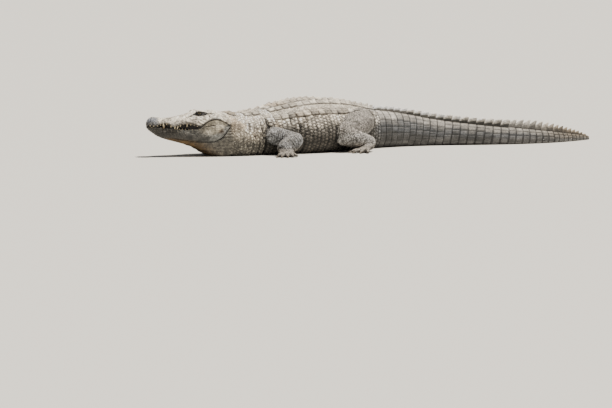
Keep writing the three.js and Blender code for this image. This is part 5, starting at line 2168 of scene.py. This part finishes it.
def add_teeth(material):
    """Upper teeth over the lower lip, the notch's tooth, and the tips of the lower row."""
    random = np.random.default_rng(SEED)
    pitch, inset = TEETH["pitch"], TEETH["inset"]
    parts = []

    def tooth(at, v, side, base_z, tip_z, radius, lean=0.0, bulge=1.2):
        swing = place(at, side * (v + bulge), 0) - place(at, side * v, 0)
        base, tip = place(at, side * v, base_z), place(at - lean, side * (v - 0.5), tip_z)
        parts.append(cone(base, tip, radius, swing))

    for at in tooth_places():
        upper = curve(GAPE, at)[0, 0]
        lip = curve(LIP, at)[0, 0]
        swell = bell(at - TEETH["lobe_at"] - 22, 26)
        behind = at > LOBE_END
        for side in (-1, 1):
            stray = random.normal(0, 1, 4)
            length = mix(*TOOTH_LENGTHS, swell) * (1 + 0.12 * stray[0])
            radius = TEETH["radius"] * mix(0.8, 1.12, swell)
            if behind:
                large = abs(at - BACK_TOOTH["s"]) < pitch / 2 - 1
                length = BACK_TOOTH["length"] if large else BACK_TOOTH_LENGTH + 2 * stray[0]
                radius = TEETH["radius"] * 0.78
            v = lip - inset - (2.0 if behind else 0.5)
            tooth(at + 2 * stray[1], v, side, upper + 6, upper + 2 - length, radius, 1 + stray[2])
            low_at = at + pitch / 2 + 1.5 * stray[2]
            low_v = curve(LIP, low_at)[0, 0] - inset - 6
            foot = curve(GAPE, low_at)[0, 1] - 4
            tooth(low_at, low_v, side, foot, foot + LOWER_TOOTH_LENGTH + 1.5 * stray[3], radius * 0.75)
    mouth = curve(MOUTH, NOTCH_TOOTH["s"])[0, 0]
    at, v, length = NOTCH_TOOTH["s"] + 3, NOTCH_TOOTH["v"] + 1, NOTCH_TOOTH["length"]
    for side in (-1, 1):
        tooth(at, v, side, mouth - 10, mouth - 6 + length, TEETH["radius"] * 1.25, 5, 2)
    points, triangles, lit = joined(parts)
    mesh = triangle_mesh("teeth", points, triangles)
    set_values(mesh, "exposed", step(0.1, 0.55, lit))
    add_object("teeth", mesh, material)


def add_claws(material):
    """Curved claws on the three inner toes of each foot."""
    for parts in limbs:
        limb, name = parts["limb"], parts["name"]
        length, radius = limb["claw"]
        for k, toe in enumerate(parts["toes"][:CLAWED_TOES]):
            end = toe["joints"][-1]
            base = np.append(end[:2] + toe["ahead"][:2] * JOINT_GAP, radius * 1.35)
            tip = np.append(end[:2] + toe["ahead"][:2] * length, radius * 0.3)
            points, triangles, lit = cone(base, tip, radius, np.array([0, 0, radius * 0.42]), 14, 12)
            points[:, 2] = np.maximum(points[:, 2], 0)
            node = f"{limb['names'][2]}_claw_{k + 1}_{name}"
            mesh = triangle_mesh(f"{node}_horn", points, triangles)
            set_values(mesh, "exposed", lit)
            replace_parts(add_object(f"{node}_horn", mesh, material), node)


# ---------------------------------------------------------------- the animal
def flesh_nodes():
    """The CAD nodes that the skin stands for."""
    kept = ("eye_", "claw")
    return [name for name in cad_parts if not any(word in name for word in kept)]


def finish_skin(mesh, hide):
    """Relief and colours of the skin, then the skin as a piece."""
    points = coordinates(mesh)
    normal = normals(mesh)
    s, v = locate(points)
    z = points[:, 2]
    limb_gap, which = limb_distance(points)
    body_gap, q = body_distance(s, v, z)
    on_limb = step(8, -4, limb_gap - np.maximum(body_gap, 0)) * (s > HEAD_END)
    head_share = step(HEAD_END + 30, HEAD_END - 5, s)
    head_lift, head_dark = head_relief(s, v, z, points)
    body_lift, body_dark = body_relief(s, z, q, points, limb_gap)
    limb_lift, limb_dark = limb_relief(points, which)
    lift = mix(mix(body_lift, limb_lift, on_limb), head_lift, head_share)
    dark = mix(mix(body_dark, limb_dark, on_limb), head_dark, head_share)
    # painted shade, and a groove, in the fold beside each leg
    fold = leg_fold(s, z, limb_gap) * (1 - on_limb)
    dark = dark + 0.5 * fold
    lift = lift - 5 * bell(limb_gap - 5, 9) * fold
    points = points + normal * lift[:, None]
    opened = shape_lids(points)
    points[:, 2] = np.maximum(points[:, 2], FLOOR_LIFT)
    set_coordinates(mesh, points)
    # painted shade: dark skin between the scales, less of it on the top of the body, on the neck and on the
    # head, and darker still in creases and in the opening between the lids
    soft = np.maximum(0.4 * step(0.3, 0.18, q), 0.6 * step(700, 620, s)) * (1 - on_limb)
    bare = mix(mix(0.14, 0.62, soft), 0.92, head_share)  # how bright the skin is where no scale covers it
    lit = bare - 1.25 * dark - 0.5 * opened
    set_colours(mesh, tints(points), lit)
    mesh.polygons.foreach_set("use_smooth", np.ones(len(mesh.polygons), bool))
    ob = add_object("skin", mesh, hide)
    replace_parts(ob, *flesh_nodes())


# ---------------------------------------------------------------- floor, light and camera
PHOTO_SIZE = (612, 408)
SNOUT_PIXEL = (146.7, 156.4)  # the floor under the snout tip
CAMERA = {"azimuth": -35, "elevation": 4.5, "distance": 15.0, "lens": 145.6, "sensor": 36}  # degrees, m, mm
FLOOR_SIZE = 900  # m
SUN = {"energy": 7.2, "angle": 8, "colour": (1.0, 0.945, 0.865), "turn": (13, 12, 0)}  # angles in degrees
SKY = {"colour": (0.9, 0.94, 1.0, 1), "strength": 0.2}


def add_floor():
    """A plain pale floor."""
    mesh = bpy.data.meshes.new("floor")
    half = FLOOR_SIZE / 2
    corners = [(-half, -half, 0), (half, -half, 0), (half, half, 0), (-half, half, 0)]
    mesh.from_pydata(corners, [], [(0, 1, 2, 3)])
    shader = Shader("floor")
    shader.set(Base_Color=rgba(linear(214, 211, 204)), Roughness=0.9)
    mesh.materials.append(shader.material)
    new_object("floor", mesh)


def add_lights():
    """One sun and a dim, even sky."""
    world = bpy.data.worlds.new("studio")
    bpy.context.scene.world = world
    world.use_nodes = True
    background = world.node_tree.nodes["Background"]
    background.inputs["Color"].default_value = SKY["colour"]
    background.inputs["Strength"].default_value = SKY["strength"]
    sun = bpy.data.lights.new("key", "SUN")
    sun.energy = SUN["energy"]
    sun.angle = np.radians(SUN["angle"])
    sun.color = SUN["colour"]
    new_object("key", sun).rotation_euler = np.radians(SUN["turn"])


def add_camera():
    """The photograph's view: its angle, and the snout's foot at its pixel."""
    azimuth, elevation = np.radians([CAMERA["azimuth"], CAMERA["elevation"]])
    flat = np.cos(elevation)
    back = np.array([np.sin(azimuth) * flat, -np.cos(azimuth) * flat, np.sin(elevation)])
    right = np.array([np.cos(azimuth), np.sin(azimuth), 0])
    up = np.cross(back, right)
    focal = CAMERA["lens"] / CAMERA["sensor"] * PHOTO_SIZE[0]
    aside = (PHOTO_SIZE[0] / 2 - SNOUT_PIXEL[0]) / focal
    below = (PHOTO_SIZE[1] / 2 - SNOUT_PIXEL[1]) / focal
    data = bpy.data.cameras.new("camera")
    data.lens = CAMERA["lens"]
    data.sensor_width = CAMERA["sensor"]
    data.clip_end = FLOOR_SIZE
    ob = new_object("camera", data)
    ob.location = SNOUT_TIP * MM + back * CAMERA["distance"]
    aim = Vector(-back + right * aside - up * below)
    ob.rotation_mode = "QUATERNION"
    ob.rotation_quaternion = aim.to_track_quat("-Z", "Y")
    bpy.context.scene.camera = ob


add_camera()
add_floor()
add_lights()
hide = hide_material()
skin_mesh = build_skin()
finish_skin(skin_mesh, hide)
skin = Skin(skin_mesh)
back_plates(skin, hide)
taken, reach = trunk_scales(skin, hide)
for side, name in ((-1, "left"), (1, "right")):
    grains(f"grains_{name}", skin, hide, side, taken, reach)
tail_scales(skin, hide)
head_scales(skin, hide)
for leg, pitches in zip(limbs, LEG_PITCHES):
    limb_scales(f"scales_{leg['limb']['names'][2]}_{leg['name']}", skin, hide, leg, pitches)
add_eyes(eye_material())
add_teeth(tooth_material())
add_claws(claw_material())
